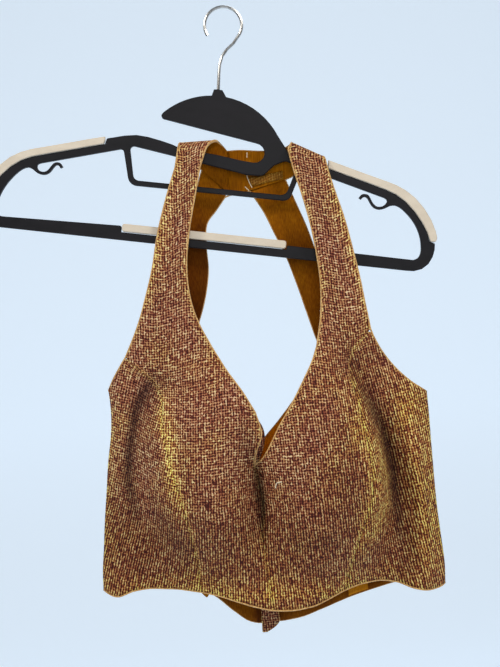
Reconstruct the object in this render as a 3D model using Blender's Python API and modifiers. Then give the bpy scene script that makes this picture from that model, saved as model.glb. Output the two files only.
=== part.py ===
"""Halter blouse hung on a plastic hanger: wrap straps, moulded cups, open back with a keyhole.

The blouse hangs plumb with its front towards -Y. The origin is the inside top of the hanger's
wire hook, where the rod carries it. Tables are in millimetres, and the build is in metres.
"""

import math
from collections import namedtuple

import bpy
import numpy as np

MM = 0.001

# Cloth
CLOTH = 1.3            # wall of the outer cloth
LINING = 0.9           # wall of the lining
SEAM_GAP = 0.3         # space between two pieces that are sewn together
SEAM_SETBACK = 0.45    # of each front panel along the princess seam, which is a ridge
BINDING_WIDTH = 1.6
BINDING_THICKNESS = 2.8
BINDING_GAP = 0.4
HEM_END = 9.0          # how far the back hem's binding stops short of the side seam
CORNER_LIFT = 0.6      # a binding's extra distance from the cloth where it turns a corner
SHARPEST = 0.38        # cosine that limits how far a mitred corner reaches
SIDE_TOP_SETBACK = 1.8  # of the side panel's narrow top end, under the armhole binding
MIDDLE_SETBACK = 0.85  # of each front panel along the centre seam, whose walls lean together
LINING_GAP = 0.45
LINING_INSET = CLOTH / 2 + LINING_GAP + LINING / 2
BINDING_INSET = 0.45   # behind the middle of the outer cloth
SIDE_SETBACK = 2.6     # how far the lining stops short of the side seam

# Hanger
HANGER_TILT = math.radians(9.1)
HANGER_STUB = (-8.5, 0.0, -78.5)   # top of the stub that takes the wire
FRAME_THICKNESS = 5.0
FRAME_ROUNDING = 0.6
GRIP_THICKNESS = 6.4
GRIP_ROUNDING = 0.7
GRIP_GAP = 0.4         # from the frame to the grips moulded on it
WIRE = 3.0
HOOK_RADIUS = 18.0     # to the middle of the wire

# Heights are measured from the hook's inside top, so they are negative, and x is to the right.
Rung = namedtuple("Rung", "inner_x inner_z seam_x seam_z side_x side_z")
StrapRung = namedtuple("StrapRung", "inner_x inner_z outer_x outer_z")
TurnRung = namedtuple("TurnRung", "outer_x outer_y outer_z inner_x inner_y inner_z")
BackRung = namedtuple("BackRung", "inner_x inner_z outer_x outer_z")

# Front panels from the hem to the underarm and on to the strap's foot.
FRONT_LEFT = [
    Rung(15, -572, -52, -555, -148, -553),
    Rung(12, -553, -52.5, -538, -147.5, -534),
    Rung(9, -526, -55, -513, -145, -511),
    Rung(8, -500, -60, -484, -142.5, -484),
    Rung(10, -476, -66, -458, -139, -456),
    Rung(7, -454, -72, -434, -136, -430),
    Rung(4.5, -438, -76.5, -412, -132, -406),
    Rung(7, -424, -79, -398, -130.5, -390),
    Rung(12.5, -408, -78.5, -385, -130.5, -376),
    Rung(8, -388, -78, -371, -131.5, -361.5),
    Rung(-3, -368, -86, -357, -125, -350),
    Rung(-17, -347, -98, -345, -118.5, -340),
    Rung(-29, -326, -111, -331.5, -113.5, -332.5),
]
FRONT_RIGHT = [
    Rung(15, -572, 82, -561, 181, -566),
    Rung(12, -553, 88, -538, 181.5, -546),
    Rung(9, -526, 96, -514, 179.5, -520),
    Rung(8, -500, 105, -491, 177.5, -494),
    Rung(10, -476, 111.5, -471, 176.5, -470),
    Rung(7, -454, 113, -451, 176, -449),
    Rung(5, -438, 111.5, -433, 175.5, -430),
    Rung(12, -432.5, 110, -420, 175.3, -415),
    Rung(20, -420, 107.5, -405, 175, -400),
    Rung(29, -403, 104.5, -387, 174.3, -381),
    Rung(42, -383, 100.5, -368, 158, -369.5),
    Rung(55.5, -360, 100, -350, 143, -354),
    Rung(64, -345, 108, -333, 131, -337),
    Rung(70, -331, 120.6, -319.6, 123, -320.6),
]
UNDERARM_LEFT = 9
UNDERARM_RIGHT = 9

# Neck straps from the panel's foot to the front of the hanger's bar.
STRAP_LEFT = [
    StrapRung(-29, -326, -112, -330.5),
    StrapRung(-40, -303, -99, -303),
    StrapRung(-47, -279, -90, -277),
    StrapRung(-49, -249, -81.5, -248),
    StrapRung(-45, -216, -74, -213),
    StrapRung(-37, -180, -63, -177),
    StrapRung(-30.5, -153, -54, -152),
]
STRAP_RIGHT = [
    StrapRung(70, -331, 122.4, -317.4),
    StrapRung(76, -302, 118.5, -292),
    StrapRung(78, -272, 115, -266),
    StrapRung(76, -242, 110.5, -241),
    StrapRung(72, -214, 104.5, -211),
    StrapRung(66, -186, 97, -184),
    StrapRung(59.5, -162, 92.5, -167),
]

# Over the bar and round the nape to its middle seam. Each row runs from the outer edge to the neck.
TURN_LEFT = [
    TurnRung(-50.5, -5.8, -134.3, -24.5, -9.0, -137),
    TurnRung(-49.7, -5.3, -130.8, -21, -7.8, -131.5),
    TurnRung(-48.9, -3.1, -128.3, -17.3, -4.5, -128.2),
    TurnRung(-48, 0, -127.4, -14, 0, -127),
    TurnRung(-47, 3.1, -128.3, -12.3, 3.1, -127.5),
    TurnRung(-45.5, 5.3, -130.8, -10.8, 5.2, -128.6),
    TurnRung(-43.5, 6.0, -135, -9.3, 6.9, -130.2),
    TurnRung(-37, 7.6, -144, -7.9, 7.9, -131.8),
    TurnRung(-29, 8.6, -153.5, -6.5, 8.7, -133.7),
    TurnRung(-17, 9, -165.5, -5.3, 9, -135.2),
    TurnRung(-4.2, 9, -179, -4.2, 9.2, -137),
]
TURN_RIGHT = [
    TurnRung(90.5, -5.9, -155.8, 55.5, -8.5, -142),
    TurnRung(89.8, -5.4, -152.1, 57, -7.4, -137.8),
    TurnRung(88.9, -3.2, -149.6, 58.5, -4.3, -134.6),
    TurnRung(88, 0, -148.7, 59, 0, -133.5),
    TurnRung(86.4, 3.2, -149.6, 58, 4.3, -134.6),
    TurnRung(84, 5.4, -152.1, 54.5, 7.0, -136.5),
    TurnRung(80.5, 6.2, -155.2, 49, 8.3, -138),
    TurnRung(66, 8.0, -161.5, 40, 9, -139),
    TurnRung(51, 9, -167.5, 30, 9.2, -139),
    TurnRung(34, 9.2, -172, 19, 9.2, -138),
    TurnRung(16, 9.2, -176.5, 8, 9.2, -136.8),
    TurnRung(-3.6, 9, -180, -3.6, 9.2, -137),
]

# Back panels from the hem, past the foot of the keyhole and the underarm, to the nape.
BACK_LEFT = [
    BackRung(2.6, -600, -148, -553),
    BackRung(4.2, -570, -147.5, -534),
    BackRung(6.8, -535, -145, -511),
    BackRung(8.7, -500, -142.5, -484),
    BackRung(10.5, -470, -139, -456),
    BackRung(13.3, -421, -134, -418),
    BackRung(2, -408, -131.4, -400),
    BackRung(-16, -394, -130.5, -382),
    BackRung(-35, -380, -131.5, -361.5),
    BackRung(-47, -358, -114, -350),
    BackRung(-50, -335, -100, -330),
    BackRung(-44, -308, -89, -307),
    BackRung(-35, -281, -77, -279),
    BackRung(-29.5, -252, -66, -250),
    BackRung(-30, -226, -56, -225),
    BackRung(-28, -206, -47.5, -204),
    BackRung(-18, -193, -38.5, -183),
    BackRung(-6.3, -178, -29.6, -154.2),
]
BACK_RIGHT = [
    BackRung(3.6, -600, 181, -566),
    BackRung(5, -570, 181.5, -546),
    BackRung(7.5, -535, 179.5, -520),
    BackRung(9.5, -500, 177.5, -494),
    BackRung(11.3, -470, 176.5, -470),
    BackRung(14.2, -421, 175.4, -421),
    BackRung(20, -414, 175.1, -409),
    BackRung(33, -400, 174.8, -396),
    BackRung(51, -378, 174.3, -381),
    BackRung(74, -361, 150, -369),
    BackRung(80, -345, 128, -351),
    BackRung(72, -322, 111, -328),
    BackRung(65, -298, 99, -300),
    BackRung(57, -270, 87, -270),
    BackRung(48, -242, 76, -238),
    BackRung(38, -219, 69, -215),
    BackRung(28, -196, 59.5, -190),
    BackRung(16.5, -177.1, 51.3, -168.2),
]
KEYHOLE_FOOT = 5
BACK_UNDERARM = 8

# The end of the tie below the hem, from its top down.
TieRow = namedtuple("TieRow", "left_x left_z right_x right_z")
TIE_END = [
    TieRow(1.5, -556, 18, -556),
    TieRow(1.8, -572, 18.4, -572),
    TieRow(2.2, -588, 19.4, -590),
    TieRow(2.2, -599, 20, -598),
    TieRow(2.2, -605.5, 14.7, -604.4),
    TieRow(2.4, -609, 6.5, -609.3),
]

# Hem lines, left to right: x and height.
FRONT_HEM = [
    (-148, -553), (-143, -556), (-134, -558), (-117, -553), (-102, -551.5), (-80, -553),
    (-54, -555), (-36, -558), (-17, -564), (0, -569), (15, -572), (32, -572.5), (50, -570.5),
    (66, -566), (84, -560), (99, -556.5), (114, -556), (132, -559.5), (150, -566), (166, -569),
    (176, -568.5), (181, -566),
]
BACK_HEM = [
    (-148, -553), (-120, -552), (-90, -554), (-62, -560), (-44, -568), (-24, -586), (-9, -597.5),
    (1, -600), (6, -600), (18, -599), (40, -595.5), (60, -589), (89, -580), (120, -571),
    (140, -566), (160, -564), (181, -566),
]
HEM_FADE = 3.0          # rungs over which the hem's waves die out

# The front's depth ahead of the hanger's plane, at named places across it and at each height.
Across = namedtuple(
    "Across",
    "side_l bulge_l valley_l seam_l cup_l slope_l middle slope_r cup_r rim_r valley_r bulge_r side_r",
)
FRONT_PLACES = {
    -575: Across(-148, -131, -78, -52, -28, 2, 15, 30, 50, 80, 113, 150, 181),
    -552: Across(-148, -130, -82, -53, -28, 0, 12, 28, 50, 84, 139, 160, 181),
    -527: Across(-146, -129, -90, -54, -30, -2, 9, 26, 54, 95, 139, 161, 180),
    -500: Across(-144, -128, -103, -60, -34, -8, 8, 26, 60, 106, 139, 161, 178),
    -470: Across(-141, -126, -114, -66, -38, -10, 9, 28, 64, 117, 138, 159, 177),
    -440: Across(-137, -127, -117, -74, -42, -12, 5, 26, 66, 118, 134, 157, 176),
    -410: Across(-132, -124, -113, -79, -45, -14, 18, 40, 70, 111, 127, 153, 176),
    -380: Across(-131, -121, -106, -80, -46, -20, 22, 54, 78, 104, 119, 147, 174),
    -350: Across(-128, -116, -100, -82, -55, -24, 22, 60, 78, 96, 107, 124, 141),
    -331: Across(-113, -104, -92, -78, -60, -34, 22, 66, 80, 94, 104, 116, 130),
    -300: Across(-100, -92, -84, -74, -62, -44, 15, 72, 82, 92, 101, 112, 124),
    -260: Across(-88, -82, -76, -70, -62, -48, 12, 74, 84, 92, 100, 108, 118),
    -210: Across(-76, -72, -68, -62, -54, -42, 12, 68, 78, 86, 93, 99, 107),
    -170: Across(-64, -60, -56, -52, -46, -34, 12, 60, 70, 77, 84, 90, 97),
    -150: Across(-56, -52, -48, -44, -40, -30, 12, 54, 64, 72, 78, 84, 92),
}
FRONT_DEPTHS = {
    -575: Across(1, 15, 11, 24, 34, 43, 45, 46, 43, 27, 10, 18, 1),
    -552: Across(1, 13, 14, 27, 37, 41, 41, 43, 44, 32, 12, 19, 1),
    -527: Across(1, 11, 18, 34, 44, 44, 40, 46, 51, 39, 12, 20, 1),
    -500: Across(1, 9, 17, 46, 55, 49, 36, 50, 58, 45, 11, 20, 1),
    -470: Across(1, 9, 15, 53, 63, 54, 33, 54, 63, 46, 10, 20, 1),
    -440: Across(1, 11, 15, 51, 64, 54, 36, 54, 64, 47, 11, 20, 1),
    -410: Across(1, 12, 16, 46, 59, 56, 45, 54, 61, 45, 13, 18, 1),
    -380: Across(1, 12, 15, 33, 49, 51, 45, 49, 52, 40, 16, 15, 1),
    -350: Across(6, 11, 14, 19, 29, 36, 37, 38, 37, 28, 18, 14, 7),
    -331: Across(12, 14, 16, 17, 20, 23, 24, 26, 25, 22, 19, 17, 14),
    -300: Across(14, 15, 16, 16, 16, 17, 17, 18, 18, 18, 18, 17, 16),
    -260: Across(12, 13, 14, 14, 14, 13, 13, 13, 14, 15, 15, 14, 13),
    -210: Across(10, 11, 11, 11, 11, 10, 10, 10, 11, 11, 11, 11, 10),
    -170: Across(8, 9, 9, 9, 9, 9, 9, 9, 9, 9, 9, 9, 9),
    -150: Across(8, 8, 8, 8, 9, 9, 9, 9, 9, 9, 8, 8, 8),
}

# The back's depth behind the hanger's plane.
BackAcross = namedtuple("BackAcross", "side_l near_l fold_l valley_l middle valley_r fold_r near_r side_r")
BACK_PLACES = {
    -600: BackAcross(-148, -136, -95, -50, 2, 52, 98, 166, 181),
    -540: BackAcross(-147, -135, -92, -48, 6, 54, 100, 166, 181),
    -470: BackAcross(-141, -129, -88, -44, 11, 58, 104, 164, 177),
    -400: BackAcross(-131, -119, -84, -50, 14, 64, 108, 160, 175),
    -350: BackAcross(-130, -112, -84, -56, 14, 84, 106, 130, 141),
    -290: BackAcross(-90, -80, -62, -44, 14, 66, 80, 94, 104),
    -230: BackAcross(-64, -56, -44, -32, 12, 46, 58, 70, 78),
    -150: BackAcross(-44, -36, -28, -16, 12, 26, 38, 48, 60),
}
BACK_DEPTHS = {
    -600: BackAcross(1, 12, 25, 17, 24, 18, 25, 13, 1),
    -540: BackAcross(1, 11, 22, 17, 22, 18, 23, 12, 1),
    -470: BackAcross(1, 10, 20, 18, 21, 19, 21, 11, 1),
    -400: BackAcross(1, 9, 18, 18, 20, 19, 19, 10, 1),
    -350: BackAcross(2, 9, 16, 17, 18, 18, 17, 10, 3),
    -290: BackAcross(11, 13, 14, 14, 14, 14, 15, 14, 12),
    -230: BackAcross(10, 11, 12, 12, 12, 12, 12, 11, 10),
    -150: BackAcross(8.5, 8.8, 9, 9, 9.2, 9.2, 9.2, 9, 9),
}

# The hanger's outlines in its own plane, right and up from the top of its stub.
GRIP_RIGHT_TOP = [
    (112.4, -57.3), (122, -59.8), (132, -62.4), (151.1, -67.4), (170.1, -72.1), (179.6, -74.8),
    (189.3, -79), (199.2, -85.3), (209, -94.7), (216.8, -105.2), (222.2, -115.7), (224.2, -122),
]
GRIP_RIGHT_FOOT = [
    (112.4, -65.1), (122, -67.6), (132.7, -70.4), (151.8, -75.2), (170.9, -80.4), (180.5, -83.9),
    (190.5, -89.9), (200.3, -98.8), (208.6, -108.7), (214.2, -117.4), (216.7, -123.4),
]
GRIP_LEFT_TOP = [
    (-104.2, -55.7), (-118, -59.3), (-131.9, -63.2), (-152.4, -68.9), (-172.9, -74.4),
    (-183, -78.2), (-193.1, -84.2), (-202.7, -93.2), (-210.5, -103.2), (-216.2, -112.7),
    (-219.6, -121.5),
]
GRIP_LEFT_FOOT = [
    (-104.9, -63), (-118, -66.6), (-131.2, -70.3), (-151.7, -75.9), (-172.2, -81.6),
    (-182.3, -86.3), (-192.1, -93.5), (-200.9, -103.2), (-207.6, -113), (-212.3, -123),
]
END_RIGHT = [
    (222.4, -127.4), (222.8, -133.3), (221.6, -140.2), (218.2, -147.5), (212.4, -153),
    (205.2, -155.6), (198, -155.9),
]
END_LEFT = [
    (-196, -152.4), (-203, -152), (-210.2, -149.2), (-215.4, -143.8), (-218.4, -137),
    (-219.2, -130.8), (-218.6, -125.6),
]
HOLE_RIGHT = [
    (203, -145.1), (207.4, -142.8), (209.5, -138.3), (209.6, -132.8), (207.8, -123.6),
    (204, -114.8), (198.5, -107), (191.4, -100.2), (185.5, -96), (180.6, -94.5), (176, -95.3),
    (171.4, -98.1), (165.8, -99.9), (160.4, -98.6), (156.6, -94.9), (154, -90.8), (151.4, -89),
    (149.3, -89.6), (147.4, -92),
]
HOOK_RIGHT = [
    (145, -90.7), (147.2, -87.3), (150.3, -86.3), (153.8, -86.9), (156.4, -90), (159.2, -94.3),
    (162.5, -96.9), (165.7, -97.2), (169, -96.2), (171.4, -93.8), (172.6, -91.2), (171.6, -89.3),
    (169.4, -88.1),
]
HOOK_LEFT = [
    (-162.5, -86.9), (-165.6, -88.2), (-166.5, -90.8), (-165.2, -93.4), (-162.4, -95.1),
    (-158.9, -95.1), (-155.8, -93.2), (-153.4, -89.6), (-150.9, -86.1), (-147.6, -84.8),
    (-144.2, -85.4), (-141.6, -88.7),
]
HOLE_LEFT = [
    (-143.9, -90.2), (-145.8, -87.8), (-148.4, -87.6), (-150.6, -90.2), (-153.2, -94.4),
    (-156.6, -97.2), (-160.8, -98), (-165.8, -96.9), (-170.2, -93.9), (-174.9, -92.3),
    (-180.4, -94.5), (-186.4, -100), (-192.7, -108.1), (-197.4, -116.5), (-200.4, -125),
    (-202, -132.2), (-201.6, -137.4), (-199.4, -140.8), (-195, -141.8),
]
ARM_LEFT = [
    (30, -66), (4, -62.6), (-20, -60.6), (-33, -59), (-39, -56.9), (-50, -54.3), (-63, -51.9),
    (-74, -51.2), (-85.5, -52.9), (-97, -56),
]

# Looks of the solids: linear colour and roughness.
OUTER_CLOTH = ((0.26, 0.12, 0.065, 1), 0.75)
MUSTARD = ((0.30, 0.14, 0.012, 1), 0.7)
TAN_BINDING = ((0.55, 0.33, 0.10, 1), 0.6)
BLACK_PLASTIC = ((0.017, 0.016, 0.018, 1), 0.42)
BEIGE_RUBBER = ((0.72, 0.62, 0.47, 1), 0.6)
STEEL = ((0.5, 0.5, 0.5, 1), 0.25)


def clear_scene():
    for old in list(bpy.data.objects):
        bpy.data.objects.remove(old, do_unlink=True)


def material(name, look, metallic=0.0):
    made = bpy.data.materials.new(name)
    made.use_nodes = True
    shader = made.node_tree.nodes["Principled BSDF"]
    shader.inputs["Base Color"].default_value = look[0]
    shader.inputs["Roughness"].default_value = look[1]
    shader.inputs["Metallic"].default_value = metallic
    return made


def collection(name):
    made = bpy.data.collections.new(name)
    bpy.context.scene.collection.children.link(made)
    return made


def smooth_line(stops, values):
    """A function of place that passes through the values and never overshoots them."""
    stops = np.asarray(stops, float)
    values = np.asarray(values, float)
    steps = np.diff(stops)
    rises = np.diff(values) / steps
    slopes = np.zeros(len(stops))
    slopes[0] = rises[0]
    slopes[-1] = rises[-1]
    for i in range(1, len(stops) - 1):
        if rises[i - 1] * rises[i] > 0:
            before = 2 * steps[i] + steps[i - 1]
            after = steps[i] + 2 * steps[i - 1]
            slopes[i] = (before + after) / (before / rises[i - 1] + after / rises[i])

    def at(place):
        place = min(max(place, stops[0]), stops[-1])
        i = min(int(np.searchsorted(stops, place, side="right")) - 1, len(steps) - 1)
        t = (place - stops[i]) / steps[i]
        start = values[i] * (1 + 2 * t) * (1 - t) ** 2 + slopes[i] * steps[i] * t * (1 - t) ** 2
        end = values[i + 1] * t * t * (3 - 2 * t) - slopes[i + 1] * steps[i] * t * t * (1 - t)
        return start + end

    return at


def depth_field(places, depths):
    """Depth at any x and height, read smoothly between the tables' named places."""
    heights = sorted(places)
    count = len(places[heights[0]])
    place_lines = [smooth_line(heights, [places[h][k] for h in heights]) for k in range(count)]
    depth_lines = [smooth_line(heights, [depths[h][k] for h in heights]) for k in range(count)]
    known = {}

    def at(x, z):
        key = round(z, 3)
        if key not in known:
            stops = [line(z) for line in place_lines]
            known[key] = smooth_line(stops, [line(z) for line in depth_lines])
        return known[key](x)

    return at


front_depth = depth_field(FRONT_PLACES, FRONT_DEPTHS)
back_depth = depth_field(BACK_PLACES, BACK_DEPTHS)
front_hem = smooth_line(*zip(*FRONT_HEM))
back_hem = smooth_line(*zip(*BACK_HEM))


def between_rungs(rungs, steps_each):
    """Rungs of a table with smoothly drawn ones added, steps_each to every interval."""
    table = np.array(rungs, float)
    slopes = np.gradient(table, axis=0)
    found = []
    for i in range(len(table) - 1):
        for step in range(steps_each):
            t = step / steps_each
            found.append(
                table[i] * (1 + 2 * t) * (1 - t) ** 2 + slopes[i] * t * (1 - t) ** 2
                + table[i + 1] * t * t * (3 - 2 * t) - slopes[i + 1] * t * t * (1 - t)
            )
    found.append(table[-1])
    return np.array(found)


def broken_rungs(rungs, corners, steps_each):
    """between_rungs with a sharp corner kept at each of the numbered rungs."""
    ends = [0, *corners, len(rungs) - 1]
    found = []
    for first, last in zip(ends, ends[1:]):
        found.extend(between_rungs(rungs[first:last + 1], steps_each)[:-1])
    found.append(np.array(rungs[-1], float))
    return np.array(found)


def laid_on(field, sign, edges, columns, hem=None, hem_rows=0):
    """Grid of points across from one edge to the other at each rung, at the field's depth."""
    rows = []
    for number, (x0, z0, x1, z1) in enumerate(edges):
        fade = max(0.0, 1.0 - number / hem_rows) ** 1.5 if hem else 0.0
        row = []
        for column in range(columns + 1):
            s = column / columns
            x = x0 + (x1 - x0) * s
            z = z0 + (z1 - z0) * s
            if fade:
                bottom = edges[0][1] + (edges[0][3] - edges[0][1]) * s
                along_hem = edges[0][0] + (edges[0][2] - edges[0][0]) * s
                z += (hem(along_hem) - bottom) * fade
            row.append((x, sign * field(x, z), z))
        rows.append(row)
    return np.array(rows)


def across_turn(rungs, columns):
    """Straight rows from the neck edge to the outer edge over the hanger's bar."""
    rows = []
    for rung in rungs:
        inner = np.array(rung[3:6], float)
        outer = np.array(rung[0:3], float)
        rows.append([inner + (outer - inner) * k / columns for k in range(columns + 1)])
    return np.array(rows)


def outward(rows, towards):
    """Unit normals of a grid of points; the first row's look along towards."""
    along = np.gradient(rows, axis=0)
    across = np.gradient(rows, axis=1)
    normals = np.cross(along, across)
    normals /= np.linalg.norm(normals, axis=2, keepdims=True)
    if np.dot(normals[0].mean(axis=0), towards) < 0:
        normals = -normals
    return normals


def pulled_in(points, distance):
    """A line of points with its first point moved along it."""
    step = points[1] - points[0]
    moved = points.copy()
    moved[0] = points[0] + step * distance / np.linalg.norm(step)
    return moved


def trimmed(rows, first=0.0, last=0.0, bottom=0.0, top=0.0):
    """The grid with its edges drawn in, so that it stays clear of the next piece."""
    rows = rows.copy()
    for i in range(len(rows)):
        if first:
            rows[i] = pulled_in(rows[i], first)
        if last:
            rows[i] = pulled_in(rows[i][::-1], last)[::-1]
    for j in range(rows.shape[1]):
        if bottom:
            rows[:, j] = pulled_in(rows[:, j], bottom)
        if top:
            rows[:, j] = pulled_in(rows[::-1, j], top)[::-1]
    return rows


def cloth(name, rows, thickness, look, group, cyclic=False):
    """A wall of cloth: an open grid of faces on its middle surface, and a Solidify."""
    count, columns = rows.shape[0], rows.shape[1]
    faces = []
    for i in range(count if cyclic else count - 1):
        for j in range(columns - 1):
            a, b = i * columns + j, ((i + 1) % count) * columns + j
            faces.append((a, a + 1, b + 1, b))
    mesh = bpy.data.meshes.new(name)
    mesh.from_pydata([tuple(point) for point in (rows * MM).reshape(-1, 3)], [], faces)
    mesh.materials.append(look)
    mesh.shade_smooth()
    made = bpy.data.objects.new(name, mesh)
    group.objects.link(made)
    wall = made.modifiers.new("Wall", "SOLIDIFY")
    wall.thickness = thickness * MM
    wall.offset = 0
    return made


def bound(name, edge, look, group, cyclic=True, end_gaps=(0.0, 0.0)):
    """A binding beside an edge; edge rows hold a point, its normal and the way off the cloth."""
    points = np.array([row[0] for row in edge])
    count = len(points)
    near = []
    far = []
    for i, (point, normal, hint) in enumerate(edge):
        before = point - points[i - 1]
        after = points[(i + 1) % count] - point
        if not cyclic and i == 0:
            before = after
        if not cyclic and i == count - 1:
            after = before
        flat = []
        for step in (before, after):
            step = step - normal * (step @ normal)
            flat.append(step / np.linalg.norm(step))
        tangent = (flat[0] + flat[1]) / 2
        away = np.cross(tangent, normal)
        away /= np.linalg.norm(away)
        away *= math.copysign(1.0, away @ hint) / max(SHARPEST, np.linalg.norm(tangent))
        middle = point - normal * BINDING_INSET
        near.append(middle + away * BINDING_GAP)
        far.append(middle + away * (BINDING_GAP + BINDING_WIDTH))
    rows = np.stack([near, far], axis=1)
    for end, gap in zip((0, 1), end_gaps):
        if gap:
            rows = rows[::-1] if end else rows
            rows = trimmed(rows, bottom=gap)
            rows = rows[::-1] if end else rows
    return cloth(name, rows, BINDING_THICKNESS, look, group, cyclic)


def edge_of(rows, normals, side, start=0, stop=None):
    """Points, normals and ways off the cloth along a grid's first (0) or last (-1) column."""
    stop = len(rows) if stop is None else stop
    inner = 1 if side == 0 else -2
    return [
        (rows[i, side], normals[i, side], rows[i, side] - rows[i, inner])
        for i in range(start, stop)
    ]


def hem_of(rows, normals):
    """The same along a grid's first row."""
    return [(rows[0, j], normals[0, j], rows[0, j] - rows[1, j]) for j in range(rows.shape[1])]


def corner(first, second, way):
    """One row where two edges meet in a point; way is off the cloth there."""
    normal = first[1] + second[1]
    way = np.array(way, float)
    point = (first[0] + second[0]) / 2 + way * CORNER_LIFT
    return (point, normal / np.linalg.norm(normal), way)


def build_front(side, rungs, underarm, strap, turn, centre_columns, side_columns, looks, group):
    """One half of the front with its strap; gives the edges that the bindings follow."""
    steps = 2
    lower = broken_rungs(rungs, [underarm], steps)
    hem_rows = HEM_FADE * steps
    centre = laid_on(front_depth, -1, lower[:, 0:4], centre_columns, front_hem, hem_rows)
    upper = laid_on(front_depth, -1, between_rungs(strap, steps), centre_columns)
    turned = across_turn(turn, centre_columns)
    centre = np.concatenate([centre[:-1], upper, turned])
    normals = outward(centre, (0, -1, 0))
    foot = len(lower) - 1
    tip = 6 * steps
    shown = centre.copy()
    for i in range(foot):
        shown[i] = pulled_in(shown[i][::-1], SEAM_SETBACK)[::-1]
    for i in range(tip + 2):
        shown[i] = pulled_in(shown[i], MIDDLE_SETBACK)
    cloth(f"front_centre_{side}", shown, CLOTH, looks["outer"], group)

    flank = laid_on(front_depth, -1, lower[:, 2:6], side_columns, front_hem, hem_rows)
    flank_normals = outward(flank, (0, -1, 0))
    cloth(
        f"front_side_{side}", trimmed(flank, first=SEAM_SETBACK, top=SIDE_TOP_SETBACK),
        CLOTH, looks["outer"], group,
    )

    lining = centre - normals * LINING_INSET
    cloth(f"strap_lining_{side}", lining[foot + 1:], LINING, looks["mustard"], group)

    turn_start = foot + len(upper)
    return {
        "neck": edge_of(centre, normals, 0, tip),
        "armhole": (
            edge_of(flank, flank_normals, -1, underarm * steps, len(flank) - 1)
            + edge_of(centre, normals, -1, foot, turn_start + 9)
        ),
        "keyhole_top": edge_of(centre, normals, -1, turn_start + 8),
        "hem_centre": hem_of(centre, normals),
        "hem_side": hem_of(flank, flank_normals),
        "side_seam": lower[: underarm * steps + 1, 4:6],
    }


def build_back(side, rungs, columns, looks, group):
    """One half of the back with its lining; gives the edges that the bindings follow."""
    steps = 2
    edges = broken_rungs(rungs, [KEYHOLE_FOOT, BACK_UNDERARM], steps)
    rows = laid_on(back_depth, 1, edges, columns, back_hem, HEM_FADE * steps)
    normals = outward(rows, (0, 1, 0))
    cloth(f"back_{side}", rows, CLOTH, looks["outer"], group)
    lining = trimmed(rows - normals * LINING_INSET, top=SEAM_GAP)
    for i in range(BACK_UNDERARM * steps + 3):
        lining[i] = pulled_in(lining[i][::-1], SIDE_SETBACK)[::-1]
    cloth(f"back_lining_{side}", lining, LINING, looks["mustard"], group)
    return {
        "keyhole": edge_of(rows, normals, 0, KEYHOLE_FOOT * steps),
        "armhole": edge_of(rows, normals, -1, BACK_UNDERARM * steps),
        "hem": hem_of(rows, normals),
        "rows": rows,
        "normals": normals,
    }


def build_bindings(left, right, back_left, back_right, look, group):
    """Bindings round the neck, armholes, keyhole and hems."""
    up = (0, 0, 1)
    tip = corner(left["neck"][0], right["neck"][0], up)
    nape = corner(left["neck"][-1], right["neck"][-1], up)
    neck = [tip, *left["neck"][1:-3], nape, *right["neck"][-2:1:-1]]
    bound("neck_binding", neck, look, group)
    for side, front, back in (("left", left, back_left), ("right", right, back_right)):
        underarm = corner(front["armhole"][0], back["armhole"][0], up)
        loop = [underarm, *front["armhole"][1:], *back["armhole"][-2:0:-1]]
        bound(f"armhole_binding_{side}", loop, look, group)
    foot = corner(back_left["keyhole"][0], back_right["keyhole"][0], up)
    nape = corner(left["keyhole_top"][-1], right["keyhole_top"][-1], (0, 0, -1))
    keyhole = [
        foot, *back_left["keyhole"][1:-1], nape, right["keyhole_top"][-2],
        *back_right["keyhole"][-2:0:-1],
    ]
    bound("keyhole_binding", keyhole, look, group)
    front_edge = (
        left["hem_side"][::-1] + left["hem_centre"][-2::-1]
        + right["hem_centre"][1:] + right["hem_side"][1:]
    )
    bound("front_hem_binding", front_edge, look, group, cyclic=False)
    for side, back in (("left", back_left), ("right", back_right)):
        bound(
            f"back_hem_binding_{side}", back["hem"], look, group, cyclic=False,
            end_gaps=(BINDING_GAP, HEM_END),
        )


def build_small_pieces(looks, group):
    """Pieces that lie on the lining: the tie's end, the hem's patch and the nape's tab."""
    inner_face = LINING_INSET + LINING / 2 + SEAM_GAP
    tie = []
    for left_x, left_z, right_x, right_z in TIE_END:
        row = []
        for k in range(4):
            x = left_x + (right_x - left_x) * k / 3
            z = left_z + (right_z - left_z) * k / 3
            row.append((x, back_depth(x, max(z, -600)) - inner_face - 1.6, z))
        tie.append(row)
    cloth("back_tie_end", np.array(tie), 1.2, looks["outer"], group)

    patch = []
    for z_up in (1.5, 9, 16.5):
        row = []
        for x in (89, 95.5, 102, 108.5):
            z = back_hem(x) + z_up
            row.append((x, back_depth(x, z) - inner_face - 1.5, z))
        patch.append(row)
    cloth("hem_patch", np.array(patch), 0.8, looks["patch"], group)

    tab = []
    for t in (0.0, 0.5, 1.0):
        row = []
        for s in (0.0, 0.33, 0.67, 1.0):
            x = 15 + 34 * s + 3.5 * t * (1 - s)
            z = -164.5 + 5 * s - 7.5 * t
            row.append((x, 9.2 - inner_face - 0.6, z))
        tab.append(row)
    cloth("nape_seam_tab", np.array(tab), 0.8, looks["outer"], group)


def arc(centre, radius, start, end, count):
    """Corners without rounding along an arc; angles in degrees."""
    found = []
    for k in range(count + 1):
        angle = math.radians(start + (end - start) * k / count)
        found.append(
            (centre[0] + radius * math.cos(angle), centre[1] + radius * math.sin(angle), 0)
        )
    return found


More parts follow.
